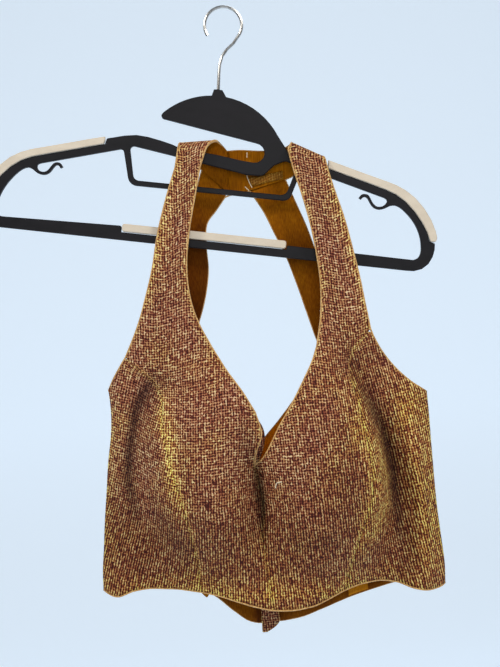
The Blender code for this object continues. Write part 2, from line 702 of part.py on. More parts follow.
def rounded(corners, step=math.radians(18)):
    """A closed outline with an arc at each corner; a corner is u, v and radius."""
    outline = []
    for i, (u, v, radius) in enumerate(corners):
        here = np.array((u, v), float)
        if radius == 0:
            outline.append(here)
            continue
        before = np.array(corners[i - 1][:2], float) - here
        after = np.array(corners[(i + 1) % len(corners)][:2], float) - here
        before /= np.linalg.norm(before)
        after /= np.linalg.norm(after)
        opening = math.acos(max(-1.0, min(1.0, float(before @ after))))
        middle = before + after
        centre = here + middle / np.linalg.norm(middle) * radius / math.sin(opening / 2)
        first = here + before * radius / math.tan(opening / 2) - centre
        last = here + after * radius / math.tan(opening / 2) - centre
        turn = math.atan2(first[0] * last[1] - first[1] * last[0], float(first @ last))
        count = max(1, math.ceil(abs(turn) / step))
        start = math.atan2(first[1], first[0])
        for k in range(count + 1):
            angle = start + turn * k / count
            outline.append(centre + radius * np.array((math.cos(angle), math.sin(angle))))
    return outline


def curved(points, steps_each=1):
    """Corners without rounding along a smooth line through points."""
    return [(float(u), float(v), 0) for u, v in between_rungs(points, steps_each)]


def beside(corners, distance):
    """The line of corners moved square to itself, to its left."""
    points = np.array([corner_[:2] for corner_ in corners])
    tangents = np.gradient(points, axis=0)
    tangents /= np.linalg.norm(tangents, axis=1, keepdims=True)
    points = points + np.stack([-tangents[:, 1], tangents[:, 0]], axis=1) * distance
    return [(float(u), float(v), 0) for u, v in points]


def flat_outline(name, outlines, thickness, rounding, look, group):
    """A flat moulding cut to outlines in the hanger's own plane, with rounded edges."""
    curve = bpy.data.curves.new(name, "CURVE")
    curve.dimensions = "2D"
    curve.fill_mode = "BOTH"
    curve.extrude = (thickness / 2 - rounding) * MM
    curve.bevel_depth = rounding * MM
    curve.bevel_resolution = 0
    curve.offset = -rounding * MM
    for outline in outlines:
        spline = curve.splines.new("POLY")
        spline.points.add(len(outline) - 1)
        for point, (u, v) in zip(spline.points, outline):
            point.co = (u * MM, v * MM, 0, 1)
        spline.use_cyclic_u = True
    curve.materials.append(look)
    made = bpy.data.objects.new(name, curve)
    group.objects.link(made)
    made.location = [value * MM for value in HANGER_STUB]
    made.rotation_euler = (math.radians(90), HANGER_TILT, 0)
    return made


def build_hanger(looks, group):
    """Moulded frame with its slotted crescent, lower bar and hooks, three grips and the wire."""
    crescent = (0.8, -79.0)
    slot = (41.0, -57.2)
    outer = [
        (4, 0, 1.2), (-4, 0, 1.2),
        *arc(crescent, 73, 95, 134, 8),
        (-54.5, -32.3, 3),
        *arc(slot, 9.6, 88, -92, 8),
        *curved(ARM_LEFT), (-102, -57.2, 1.8), (-103.6, -63.2, 1),
        *beside(curved(GRIP_LEFT_FOOT), GRIP_GAP), (-214.2, -127.4, 1),
        *curved(END_LEFT)[::-1],
        *curved(END_RIGHT)[::-1], (216.9, -125.7, 1),
        *beside(curved(GRIP_RIGHT_FOOT)[::-1], GRIP_GAP), (111.9, -64.8, 1),
        (111, -59, 1.8), (76, -57, 14),
        *arc(crescent, 73, 33, 84, 9),
    ]
    big_hole = [
        (80.4, -147, 0.6), (80.4, -143, 1.8),
        *curved(HOLE_RIGHT, 2), *curved(HOOK_RIGHT, 2),
        (96, -69, 8), (88.3, -67.4, 1.8), (78.5, -100.2, 8), (-76.5, -99.8, 9), (-85.3, -65.4, 3.5),
        *curved(HOOK_LEFT, 2), *curved(HOLE_LEFT, 2), (-79.8, -139.6, 1.8), (-79.8, -145.8, 0.6),
    ]
    centre_hole = [
        (-79.6, -61.4, 3.5), (-72.6, -94.8, 6.5), (74.9, -95.2, 7), (83, -65.5, 2),
        (71, -61.8, 6), (60.5, -67.5, 6), (51, -78.5, 7), (36, -79, 10), (-40, -67.2, 30),
    ]
    flat_outline(
        "hanger_frame", [rounded(outer), rounded(big_hole), rounded(centre_hole)],
        FRAME_THICKNESS, FRAME_ROUNDING, looks["black"], group,
    )
    right_grip = [
        *curved(GRIP_RIGHT_TOP), (223, -126, 2), (218, -126, 2), *curved(GRIP_RIGHT_FOOT)[::-1],
    ]
    left_grip = [
        *curved(GRIP_LEFT_TOP)[::-1], (-103.6, -59, 2), *curved(GRIP_LEFT_FOOT),
        (-214, -126.6, 2), (-219, -125.6, 2),
    ]
    lower_grip = [(-79.2, -137.5, 2.5), (79.8, -138.7, 2.5), (79.8, -146.4, 2.5), (-79.2, -145.2, 2.5)]
    for name, outline in (
        ("grip_right", right_grip), ("grip_left", left_grip), ("grip_lower", lower_grip),
    ):
        flat_outline(
            name, [rounded(outline)], GRIP_THICKNESS, GRIP_ROUNDING, looks["beige"], group,
        )

    middle_z = WIRE / 2 - HOOK_RADIUS
    neck = [(-8.4, -78.1), (-7.6, -70), (-6.8, -62), (-5.6, -54), (-3, -46.5), (2, -40.2),
            (8.5, -34.8)]
    line = [(x, 0, z) for x, z in neck]
    for k in range(25):
        angle = math.radians(-42 + 252 * k / 24)
        line.append(
            (HOOK_RADIUS * math.cos(angle), 0, middle_z + HOOK_RADIUS * math.sin(angle))
        )
    curve = bpy.data.curves.new("hook", "CURVE")
    curve.dimensions = "3D"
    curve.bevel_depth = WIRE / 2 * MM
    curve.bevel_resolution = 2
    curve.use_fill_caps = True
    spline = curve.splines.new("POLY")
    spline.points.add(len(line) - 1)
    for point, place in zip(spline.points, line):
        point.co = (*[value * MM for value in place], 1)
    curve.materials.append(looks["steel"])
    group.objects.link(bpy.data.objects.new("hook", curve))


def main():
    clear_scene()
    group = collection("halter_blouse")
    looks = {
        "outer": material("outer_cloth", OUTER_CLOTH),
        "mustard": material("mustard_lining", MUSTARD),
        "patch": material("light_patch", TAN_BINDING),
        "binding": material("tan_binding", TAN_BINDING),
        "black": material("black_plastic", BLACK_PLASTIC),
        "beige": material("beige_rubber", BEIGE_RUBBER),
        "steel": material("steel_wire", STEEL, 1.0),
    }
    left = build_front(
        "left", FRONT_LEFT, UNDERARM_LEFT, STRAP_LEFT, TURN_LEFT, 9, 7, looks, group,
    )
    right = build_front(
        "right", FRONT_RIGHT, UNDERARM_RIGHT, STRAP_RIGHT, TURN_RIGHT, 9, 7, looks, group,
    )
    back_left = build_back("left", BACK_LEFT, 6, looks, group)
    back_right = build_back("right", BACK_RIGHT, 6, looks, group)
    build_bindings(left, right, back_left, back_right, looks["binding"], group)
    build_small_pieces(looks, group)
    build_hanger(looks, group)


main()
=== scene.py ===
import math
from collections import namedtuple

import bpy
import numpy as np
from mathutils import Matrix, Vector, noise


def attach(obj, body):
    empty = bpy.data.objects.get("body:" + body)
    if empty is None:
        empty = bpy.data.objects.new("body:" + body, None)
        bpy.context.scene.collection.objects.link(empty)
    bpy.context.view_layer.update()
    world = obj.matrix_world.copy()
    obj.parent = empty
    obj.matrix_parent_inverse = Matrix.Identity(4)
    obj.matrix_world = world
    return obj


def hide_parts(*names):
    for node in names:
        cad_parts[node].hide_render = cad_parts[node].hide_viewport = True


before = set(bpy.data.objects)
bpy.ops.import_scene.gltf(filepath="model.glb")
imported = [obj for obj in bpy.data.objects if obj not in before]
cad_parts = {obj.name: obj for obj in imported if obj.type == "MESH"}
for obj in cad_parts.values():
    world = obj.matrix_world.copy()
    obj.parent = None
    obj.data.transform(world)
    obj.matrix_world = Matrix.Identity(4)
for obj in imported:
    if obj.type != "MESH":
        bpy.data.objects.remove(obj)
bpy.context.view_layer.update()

MM = 0.001
CAMERA_DISTANCE = 1.05
CAMERA_LENS = 58.7
CAMERA_ROLL = math.radians(3.5)
CAMERA_AIM = (0.0078, -0.3150)

CLOTH = 1.3
LINING = 0.9
LINING_GAP = 0.45
LINING_INSET = CLOTH / 2 + LINING_GAP + LINING / 2
SHOWN_CLOTH = 1.0  # walls of the shown cloth, inside those of the solids
SHOWN_LINING = 0.7
SEAM_SETBACK = 0.12
SIDE_SETBACK = 1.2
FLANK_SETBACK = 0.4  # at a side panel's top


def table(row, *cells):
    """Rows with named columns, from their cells written one row after another."""
    width = len(row._fields)
    return [row(*cells[i:i + width]) for i in range(0, len(cells), width)]


def by_height(row, *cells):
    """The same by height, which stands before each row."""
    width = len(row._fields) + 1
    return {cells[i]: row(*cells[i + 1:i + width]) for i in range(0, len(cells), width)}


# Heights are measured from the hook's inside top, so they are negative, and x is to the right.
Rung = namedtuple("Rung", "inner_x inner_z seam_x seam_z side_x side_z")
StrapRung = namedtuple("StrapRung", "inner_x inner_z outer_x outer_z")
TurnRung = namedtuple("TurnRung", "outer_x outer_y outer_z inner_x inner_y inner_z")
BackRung = namedtuple("BackRung", "inner_x inner_z outer_x outer_z")

# Front panels from the hem to the underarm and on to the strap's foot.
FRONT_LEFT = table(
    Rung,
    15, -572, -52, -555, -148, -553,
    12, -553, -52.5, -538, -147.5, -534,
    9, -526, -55, -513, -145, -511,
    8, -500, -60, -484, -142.5, -484,
    10, -476, -66, -458, -139, -456,
    7, -454, -72, -434, -136, -430,
    4.5, -438, -76.5, -412, -132, -406,
    7, -424, -79, -398, -130.5, -390,
    12.5, -408, -78.5, -385, -130.5, -376,
    8, -388, -78, -371, -131.5, -361.5,
    -3, -368, -86, -357, -125, -350,
    -17, -347, -98, -345, -118.5, -340,
    -29, -326, -111, -331.5, -113.5, -332.5,
)
FRONT_RIGHT = table(
    Rung,
    15, -572, 82, -561, 181, -566,
    12, -553, 88, -538, 181.5, -546,
    9, -526, 96, -514, 179.5, -520,
    8, -500, 105, -491, 177.5, -494,
    10, -476, 111.5, -471, 176.5, -470,
    7, -454, 113, -451, 176, -449,
    5, -438, 111.5, -433, 175.5, -430,
    12, -432.5, 110, -420, 175.3, -415,
    20, -420, 107.5, -405, 175, -400,
    29, -403, 104.5, -387, 174.3, -381,
    42, -383, 100.5, -368, 158, -369.5,
    55.5, -360, 100, -350, 143, -354,
    64, -345, 108, -333, 131, -337,
    70, -331, 120.6, -319.6, 123, -320.6,
)
UNDERARM_LEFT = 9
UNDERARM_RIGHT = 9

# Neck straps from the panel's foot to the front of the hanger's bar.
STRAP_LEFT = table(
    StrapRung,
    -29, -326, -112, -330.5,
    -40, -303, -99, -303,
    -47, -279, -90, -277,
    -49, -249, -81.5, -248,
    -45, -216, -74, -213,
    -37, -180, -63, -177,
    -30.5, -153, -54, -152,
)
STRAP_RIGHT = table(
    StrapRung,
    70, -331, 122.4, -317.4,
    76, -302, 118.5, -292,
    78, -272, 115, -266,
    76, -242, 110.5, -241,
    72, -214, 104.5, -211,
    66, -186, 97, -184,
    59.5, -162, 92.5, -167,
)

# Over the bar and round the nape to its middle seam. Each row runs from the outer edge to the neck.
TURN_LEFT = table(
    TurnRung,
    -50.5, -5.8, -134.3, -24.5, -9.0, -137,
    -49.7, -5.3, -130.8, -21, -7.8, -131.5,
    -48.9, -3.1, -128.3, -17.3, -4.5, -128.2,
    -48, 0, -127.4, -14, 0, -127,
    -47, 3.1, -128.3, -12.3, 3.1, -127.5,
    -45.5, 5.3, -130.8, -10.8, 5.2, -128.6,
    -43.5, 6.0, -135, -9.3, 6.9, -130.2,
    -37, 7.6, -144, -7.9, 7.9, -131.8,
    -29, 8.6, -153.5, -6.5, 8.7, -133.7,
    -17, 9, -165.5, -5.3, 9, -135.2,
    -4.2, 9, -179, -4.2, 9.2, -137,
)
TURN_RIGHT = table(
    TurnRung,
    90.5, -5.9, -155.8, 55.5, -8.5, -142,
    89.8, -5.4, -152.1, 57, -7.4, -137.8,
    88.9, -3.2, -149.6, 58.5, -4.3, -134.6,
    88, 0, -148.7, 59, 0, -133.5,
    86.4, 3.2, -149.6, 58, 4.3, -134.6,
    84, 5.4, -152.1, 54.5, 7.0, -136.5,
    80.5, 6.2, -155.2, 49, 8.3, -138,
    66, 8.0, -161.5, 40, 9, -139,
    51, 9, -167.5, 30, 9.2, -139,
    34, 9.2, -172, 19, 9.2, -138,
    16, 9.2, -176.5, 8, 9.2, -136.8,
    -3.6, 9, -180, -3.6, 9.2, -137,
)

# Back panels from the hem, past the foot of the keyhole and the underarm, to the nape.
BACK_LEFT = table(
    BackRung,
    2.6, -600, -148, -553,
    4.2, -570, -147.5, -534,
    6.8, -535, -145, -511,
    8.7, -500, -142.5, -484,
    10.5, -470, -139, -456,
    13.3, -421, -134, -418,
    2, -408, -131.4, -400,
    -16, -394, -130.5, -382,
    -35, -380, -131.5, -361.5,
    -47, -358, -114, -350,
    -50, -335, -100, -330,
    -44, -308, -89, -307,
    -35, -281, -77, -279,
    -29.5, -252, -66, -250,
    -30, -226, -56, -225,
    -28, -206, -47.5, -204,
    -18, -193, -38.5, -183,
    -6.3, -178, -29.6, -154.2,
)
BACK_RIGHT = table(
    BackRung,
    3.6, -600, 181, -566,
    5, -570, 181.5, -546,
    7.5, -535, 179.5, -520,
    9.5, -500, 177.5, -494,
    11.3, -470, 176.5, -470,
    14.2, -421, 175.4, -421,
    20, -414, 175.1, -409,
    33, -400, 174.8, -396,
    51, -378, 174.3, -381,
    74, -361, 150, -369,
    80, -345, 128, -351,
    72, -322, 111, -328,
    65, -298, 99, -300,
    57, -270, 87, -270,
    48, -242, 76, -238,
    38, -219, 69, -215,
    28, -196, 59.5, -190,
    16.5, -177.1, 51.3, -168.2,
)
KEYHOLE_FOOT = 5
BACK_UNDERARM = 8
LINING_ABOVE = 8  # rows past the underarm where the lining still stays back

# The end of the tie below the hem, from its top down.
TieRow = namedtuple("TieRow", "left_x left_z right_x right_z")
TIE_END = table(
    TieRow,
    1.5, -556, 18, -556,
    1.8, -572, 18.4, -572,
    2.2, -588, 19.4, -590,
    2.2, -599, 20, -598,
    2.2, -605.5, 14.7, -604.4,
    2.4, -609, 6.5, -609.3,
)

# The tip of lining that shows below the front's hem at the left princess seam.
HEM_TIP = table(
    TieRow,
    -56, -549, -44.5, -549,
    -55, -555, -45.3, -557,
    -51, -560.2, -46.6, -560.6,
    -48.6, -562.4, -47.6, -562.2,
)
HEM_TIP_DEPTH = -18.0
# The inner side of the left front, which curls into view at the foot of the V.
NECK_CURL = table(
    TieRow,
    4.8, -437, 6.8, -437,
    5.6, -431, 10.4, -431,
    7.0, -424, 12.9, -424,
    9.6, -416, 15.2, -416,
    12.2, -409, 15.4, -409,
    12.0, -403, 14.2, -403,
    10.9, -397, 11.3, -397,
)

# Hem lines, left to right: x and height.
FRONT_HEM = [
    (-148, -553), (-143, -556), (-134, -558), (-117, -553), (-102, -551.5), (-80, -553),
    (-54, -555), (-36, -558), (-17, -564), (0, -569), (15, -572), (32, -572.5), (50, -570.5),
    (66, -566), (84, -560), (99, -556.5), (114, -556), (132, -559.5), (150, -566), (166, -569),
    (176, -568.5), (181, -566),
]
BACK_HEM = [
    (-148, -553), (-120, -552), (-90, -554), (-62, -560), (-44, -568), (-24, -586), (-9, -597.5),
    (1, -600), (6, -600), (18, -599), (40, -595.5), (60, -589), (89, -580), (120, -571),
    (140, -566), (160, -564), (181, -566),
]
HEM_FADE = 3.0  # rungs over which the hem's waves die out
HEM_FALL = 1.5

# The front's depth ahead of the hanger's plane, at named places across it and at each height.
Across = namedtuple(
    "Across",
    "side_l bulge_l valley_l seam_l cup_l slope_l middle "
    "slope_r cup_r rim_r valley_r bulge_r side_r",
)
FRONT_PLACES = by_height(
    Across,
    -575, -148, -131, -78, -52, -28, 2, 15, 30, 50, 80, 113, 150, 181,
    -552, -148, -130, -82, -53, -28, 0, 12, 28, 50, 84, 139, 160, 181,
    -527, -146, -129, -90, -54, -30, -2, 9, 26, 54, 95, 139, 161, 180,
    -500, -144, -128, -103, -60, -34, -8, 8, 26, 60, 106, 139, 161, 178,
    -470, -141, -126, -114, -66, -38, -10, 9, 28, 64, 117, 138, 159, 177,
    -440, -137, -127, -117, -74, -42, -12, 5, 26, 66, 118, 134, 157, 176,
    -410, -132, -124, -113, -79, -45, -14, 18, 40, 70, 111, 127, 153, 176,
    -380, -131, -121, -106, -80, -46, -20, 22, 54, 78, 104, 119, 147, 174,
    -350, -128, -116, -100, -82, -55, -24, 22, 60, 78, 96, 107, 124, 141,
    -331, -113, -104, -92, -78, -60, -34, 22, 66, 80, 94, 104, 116, 130,
    -300, -100, -92, -84, -74, -62, -44, 15, 72, 82, 92, 101, 112, 124,
    -260, -88, -82, -76, -70, -62, -48, 12, 74, 84, 92, 100, 108, 118,
    -210, -76, -72, -68, -62, -54, -42, 12, 68, 78, 86, 93, 99, 107,
    -170, -64, -60, -56, -52, -46, -34, 12, 60, 70, 77, 84, 90, 97,
    -150, -56, -52, -48, -44, -40, -30, 12, 54, 64, 72, 78, 84, 92,
)
FRONT_DEPTHS = by_height(
    Across,
    -575, 1, 15, 11, 24, 34, 43, 45, 46, 43, 27, 10, 18, 1,
    -552, 1, 13, 14, 27, 37, 41, 41, 43, 44, 32, 12, 19, 1,
    -527, 1, 11, 18, 34, 44, 44, 40, 46, 51, 39, 12, 20, 1,
    -500, 1, 9, 17, 46, 55, 49, 36, 50, 58, 45, 11, 20, 1,
    -470, 1, 9, 15, 53, 63, 54, 33, 54, 63, 46, 10, 20, 1,
    -440, 1, 11, 15, 51, 64, 54, 36, 54, 64, 47, 11, 20, 1,
    -410, 1, 12, 16, 46, 59, 56, 45, 54, 61, 45, 13, 18, 1,
    -380, 1, 12, 15, 33, 49, 51, 45, 49, 52, 40, 16, 15, 1,
    -350, 6, 11, 14, 19, 29, 36, 37, 38, 37, 28, 18, 14, 7,
    -331, 12, 14, 16, 17, 20, 23, 24, 26, 25, 22, 19, 17, 14,
    -300, 14, 15, 16, 16, 16, 17, 17, 18, 18, 18, 18, 17, 16,
    -260, 12, 13, 14, 14, 14, 13, 13, 13, 14, 15, 15, 14, 13,
    -210, 10, 11, 11, 11, 11, 10, 10, 10, 11, 11, 11, 11, 10,
    -170, 8, 9, 9, 9, 9, 9, 9, 9, 9, 9, 9, 9, 9,
    -150, 8, 8, 8, 8, 9, 9, 9, 9, 9, 9, 8, 8, 8,
)

# The back's depth behind the hanger's plane.
BackAcross = namedtuple(
    "BackAcross", "side_l near_l fold_l valley_l middle valley_r fold_r near_r side_r",
)
BACK_PLACES = by_height(
    BackAcross,
    -600, -148, -136, -95, -50, 2, 52, 98, 166, 181,
    -540, -147, -135, -92, -48, 6, 54, 100, 166, 181,
    -470, -141, -129, -88, -44, 11, 58, 104, 164, 177,
    -400, -131, -119, -84, -50, 14, 64, 108, 160, 175,
    -350, -130, -112, -84, -56, 14, 84, 106, 130, 141,
    -290, -90, -80, -62, -44, 14, 66, 80, 94, 104,
    -230, -64, -56, -44, -32, 12, 46, 58, 70, 78,
    -150, -44, -36, -28, -16, 12, 26, 38, 48, 60,
)
BACK_DEPTHS = by_height(
    BackAcross,
    -600, 1, 12, 25, 17, 24, 18, 25, 13, 1,
    -540, 1, 11, 22, 17, 22, 18, 23, 12, 1,
    -470, 1, 10, 20, 18, 21, 19, 21, 11, 1,
    -400, 1, 9, 18, 18, 20, 19, 19, 10, 1,
    -350, 2, 9, 16, 17, 18, 18, 17, 10, 3,
    -290, 11, 13, 14, 14, 14, 14, 15, 14, 12,
    -230, 10, 11, 12, 12, 12, 12, 12, 11, 10,
    -150, 8.5, 8.8, 9, 9, 9.2, 9.2, 9.2, 9, 9,
)


def hermite(start, start_slope, end, end_slope, t):
    """The smooth way from one value and slope to another, at a share t of it."""
    return (
        start * (1 + 2 * t) * (1 - t) ** 2 + start_slope * t * (1 - t) ** 2
        + end * t * t * (3 - 2 * t) - end_slope * t * t * (1 - t)
    )


def smooth_line(stops, values):
    """A function of place that passes through the values and never overshoots them."""
    stops = np.asarray(stops, float)
    values = np.asarray(values, float)
    steps = np.diff(stops)
    rises = np.diff(values) / steps
    slopes = np.zeros(len(stops))
    slopes[0] = rises[0]
    slopes[-1] = rises[-1]
    for i in range(1, len(stops) - 1):
        if rises[i - 1] * rises[i] > 0:
            before = 2 * steps[i] + steps[i - 1]
            after = steps[i] + 2 * steps[i - 1]
            slopes[i] = (before + after) / (before / rises[i - 1] + after / rises[i])

    def at(place):
        place = min(max(place, stops[0]), stops[-1])
        i = min(int(np.searchsorted(stops, place, side="right")) - 1, len(steps) - 1)
        step = steps[i]
        t = (place - stops[i]) / step
        return hermite(values[i], slopes[i] * step, values[i + 1], slopes[i + 1] * step, t)

    return at


def depth_field(places, depths):
    """Depth at any x and height, read smoothly between the tables' named places."""
    heights = sorted(places)
    place_lines, depth_lines = (
        [smooth_line(heights, column) for column in zip(*(rows[h] for h in heights))]
        for rows in (places, depths)
    )
    known = {}

    def at(x, z):
        key = round(z, 3)
        if key not in known:
            stops = [line(z) for line in place_lines]
            known[key] = smooth_line(stops, [line(z) for line in depth_lines])
        return known[key](x)

    return at


front_hem = smooth_line(*zip(*FRONT_HEM))
back_hem = smooth_line(*zip(*BACK_HEM))


def between_rungs(rungs, steps_each):
    """Rungs of a table with smoothly drawn ones added, steps_each to every interval."""
    rows = np.array(rungs, float)
    slopes = np.gradient(rows, axis=0)
    found = [
        hermite(rows[i], slopes[i], rows[i + 1], slopes[i + 1], step / steps_each)
        for i in range(len(rows) - 1) for step in range(steps_each)
    ]
    return np.array([*found, rows[-1]])


def broken_rungs(rungs, corners, steps_each):
    """between_rungs with a sharp corner kept at each of the numbered rungs."""
    ends = [0, *corners, len(rungs) - 1]
    found = []
    for first, last in zip(ends, ends[1:]):
        found.extend(between_rungs(rungs[first:last + 1], steps_each)[:-1])
    return np.array([*found, rungs[-1]], float)


def laid_on(field, sign, edges, columns, hem=None, hem_rows=0):
    """Grid of points across from one edge to the other at each rung, at the field's depth."""
    rows = []
    for number, (x0, z0, x1, z1) in enumerate(edges):
        fade = max(0.0, 1.0 - number / hem_rows) ** HEM_FALL if hem else 0.0
        row = []
        for s in np.linspace(0, 1, columns + 1):
            x = x0 + (x1 - x0) * s
            z = z0 + (z1 - z0) * s
            if fade:
                along_hem, bottom = edges[0][:2] + (edges[0][2:] - edges[0][:2]) * s
                z += (hem(along_hem) - bottom) * fade
            row.append((x, sign * field(x, z), z))
        rows.append(row)
    return np.array(rows)


def across_turn(rungs, columns):
    """Straight rows from the neck edge to the outer edge over the hanger's bar."""
    shares = np.linspace(0, 1, columns + 1)[:, None]
    return np.array([rung[3:6] + (rung[0:3] - rung[3:6]) * shares for rung in rungs])


def outward(rows, towards):
    """Unit normals of a grid of points; the first row's look along towards."""
    normals = np.cross(np.gradient(rows, axis=0), np.gradient(rows, axis=1))
    normals /= np.linalg.norm(normals, axis=2, keepdims=True)
    return -normals if np.dot(normals[0].mean(axis=0), towards) < 0 else normals


def drawn_in(rows, distance, count=None, last=False):
    """The grid with the first or last point of its rows, or of some, moved along the row."""
    rows = rows.copy()
    way = -1 if last else 1
    for row in rows[:count, ::way]:
        step = row[1] - row[0]
        row[0] += step * distance / np.linalg.norm(step)
    return rows


def top_drawn_in(rows, distance):
    return drawn_in(rows.swapaxes(0, 1), distance, last=True).swapaxes(0, 1)


def edge_of(rows, normals, side, start=0, stop=None):
    """Points, normals and ways off the cloth along a grid's first (0) or last (-1) column."""
    inner = 1 if side == 0 else -2
    span = slice(start, stop)
    ways = rows[span, side] - rows[span, inner]
    return list(zip(rows[span, side], normals[span, side], ways))


def hem_of(rows, normals):
    """The same along a grid's first row."""
    return list(zip(rows[0], normals[0], rows[0] - rows[1]))


def corner(first, second, way):
    """One row where two edges meet in a point; way is off the cloth there."""
    normal = first[1] + second[1]
    return ((first[0] + second[0]) / 2, normal / np.linalg.norm(normal), np.array(way, float))


# Creases of the front, as lines of x and height: half width and rise in millimetres.
Crease = namedtuple("Crease", "width rise line")
FRONT_CREASES = table(
    Crease,
    4.0, -3.5, [(5, -438), (7, -452), (8, -470), (9, -486)],
    3.5, 2.2, [(11, -436), (14, -452), (15, -472), (14, -500), (16, -530)],
    3.0, -1.6, [(-99, -346), (-108, -384), (-114, -416), (-117, -456), (-107, -487), (-90, -512)],
    3.0, -2.2, [(107, -352), (118, -378), (127, -408), (134, -431), (137, -463), (137, -500)],
    2.5, 1.0, [(-62, -300), (-70, -328), (-74, -352), (-66, -378)],
    2.2, -0.8, [(-80, -318), (-88, -340), (-92, -362)],
    2.0, -0.8, [(86, -344), (91, -365), (95, -388)],
    2.4, 0.9, [(92, -330), (96, -352), (101, -372)],
    3.0, -1.2, [(-46, -490), (-42, -520), (-46, -552)],
    3.0, 1.2, [(-36, -480), (-30, -515), (-33, -556)],
    3.4, -1.3, [(36, -500), (38, -530), (33, -566)],
    3.0, 1.1, [(50, -510), (54, -540), (52, -566)],
    2.6, -1.0, [(66, -520), (70, -545), (68, -562)],
    3.2, 1.2, [(152, -400), (158, -440), (160, -490), (158, -540)],
    2.6, -1.0, [(166, -420), (168, -460), (170, -520)],
    2.6, -0.9, [(-136, -410), (-138, -460), (-140, -520)],
)
BACK_CREASES = table(
    Crease,
    4.0, -1.6, [(-70, -420), (-78, -480), (-74, -560)],
    4.0, 1.5, [(-100, -400), (-108, -470), (-110, -550)],
    3.5, -1.4, [(60, -420), (70, -480), (72, -570)],
    4.0, 1.5, [(96, -400), (104, -470), (108, -560)],
    3.0, -1.2, [(134, -410), (140, -470), (142, -550)],
    3.0, 1.0, [(24, -440), (30, -500), (28, -580)],
    3.0, 1.0, [(-14, -450), (-20, -500), (-18, -580)],
)
# Painted sheen of the changeable cloth, yellow mostly where it turns sideways, and painted shade in
# its hollows: rise is the strength.
PAINTED_SHEEN_FRONT = table(
    Crease,
    9.0, 1.1, [(-74, -366), (-74, -399), (-72, -436), (-67, -483)],
    10.0, 0.6, [(-128, -372), (-132, -420), (-140, -480), (-146, -545)],
    8.5, 1.1, [(98, -366), (114, -410), (124, -448), (125, -476), (115, -503), (94, -522)],
    9.0, 0.8, [(84, -366), (102, -410), (111, -448), (110, -476), (98, -503)],
    19.0, 1.4, [(150, -366), (160, -400), (166, -450), (168, -510), (166, -570)],
    8.0, 0.5, [(-48, -135), (-62, -190), (-76, -230), (-88, -275)],
    7.0, 0.5, [(88, -160), (104, -215), (114, -265), (120, -310)],
    16.0, 0.8, [(-130, -548), (-70, -552), (0, -562), (70, -560), (120, -552)],
)
PAINTED_SHEEN_BACK = table(
    Crease,
    14.0, 0.9, [(-136, -390), (-138, -470), (-146, -550)],
    14.0, 0.9, [(168, -390), (170, -470), (174, -550)],
    18.0, 0.8, [(-130, -548), (-60, -560), (0, -580), (70, -570), (150, -555)],
    12.0, 0.7, [(-96, -400), (-104, -450), (-100, -520)],
    12.0, 0.7, [(96, -400), (104, -450), (104, -520)],
)
# Painted shade in the front's valleys, folds and under the cups.
PAINTED_SHADE_FRONT = table(
    Crease,
    6.0, 1.0, [(-88, -350), (-104, -378), (-113, -418), (-116, -450), (-111, -482)],
    11.0, 0.5, [(-66, -350), (-88, -360), (-104, -384)],
    14.0, 0.30, [(-92, -468), (-76, -500), (-62, -526)],
    8.0, 0.45, [(-6, -398), (3, -430), (6, -476), (4, -500)],
    3.5, 0.55, [(6, -436), (9, -458), (10, -480), (8, -500)],
    5.5, 1.2, [(112, -376), (128, -412), (135, -450), (137, -482), (140, -520)],
    14.0, 0.25, [(32, -512), (80, -505)],
    8.0, 0.35, [(97, -328), (108, -372)],
    12.0, 0.25, [(-128, -420), (-134, -470), (-136, -520)],
)
# Painted shade in the back's valleys.
PAINTED_SHADE_BACK = table(
    Crease,
    8.0, 0.5, [(-70, -410), (-80, -470), (-76, -560)],
    8.0, 0.5, [(62, -410), (72, -480), (72, -570)],
    7.0, 0.5, [(132, -400), (140, -470), (142, -550)],
    6.0, 0.4, [(-114, -390), (-122, -450), (-126, -540)],
)
# Painted light and shade on the lining at each height, left and right of the middle: darker where
# the straps shade it, lighter where it shows through the V.
PaintedLight = namedtuple("PaintedLight", "height left right")
LINING_PAINTED_LIGHT = table(
    PaintedLight,
    -605, 0.58, 0.56, -550, 0.58, 0.58, -450, 2.0, 2.2, -370, 2.0, 2.2,
    -330, 0.32, 0.58, -230, 0.42, 0.75, -185, 0.75, 0.95, -150, 1.15, 1.1,
)
PUCKER_WAVE = 8.5
PUCKER_REACH = 7.0
PUCKER_RISE = 0.28
CREASE_END = 12  # how far past its ends a crease still lifts the cloth
CREASE_WIDTHS = 4  # half widths to where it has died out
PAINTED_LIGHT_MIDDLE = 5  # x between the lining's left and right painted light
GAP_X = -1  # painted shadow in the gap of the lining at the centre back, low down
GAP_WIDTH = 3.5
GAP_PAINTED_SHADOW = 0.6
GAP_HEIGHTS = (-560, -580)
STILL_REACH = 60  # height over which the cloth's unevenness sets in
CREASE_STARTS = 0.12  # shares of a half wave at which a crease starts and that it lasts
CREASE_LASTS = 0.76

# The cloth's slow hollows and swells: their width, height and rise, and a place in the noise.
Swell = namedtuple("Swell", "width height rise seed")
SWELLS = table(
    Swell,
    34, 52, 1.1, 0,
    13, 24, 0.55, 7,
)


def share(values, start, end):
    """0 before the start, 1 past the end and the way between them."""
    return np.clip((values - start) / (end - start), 0, 1)


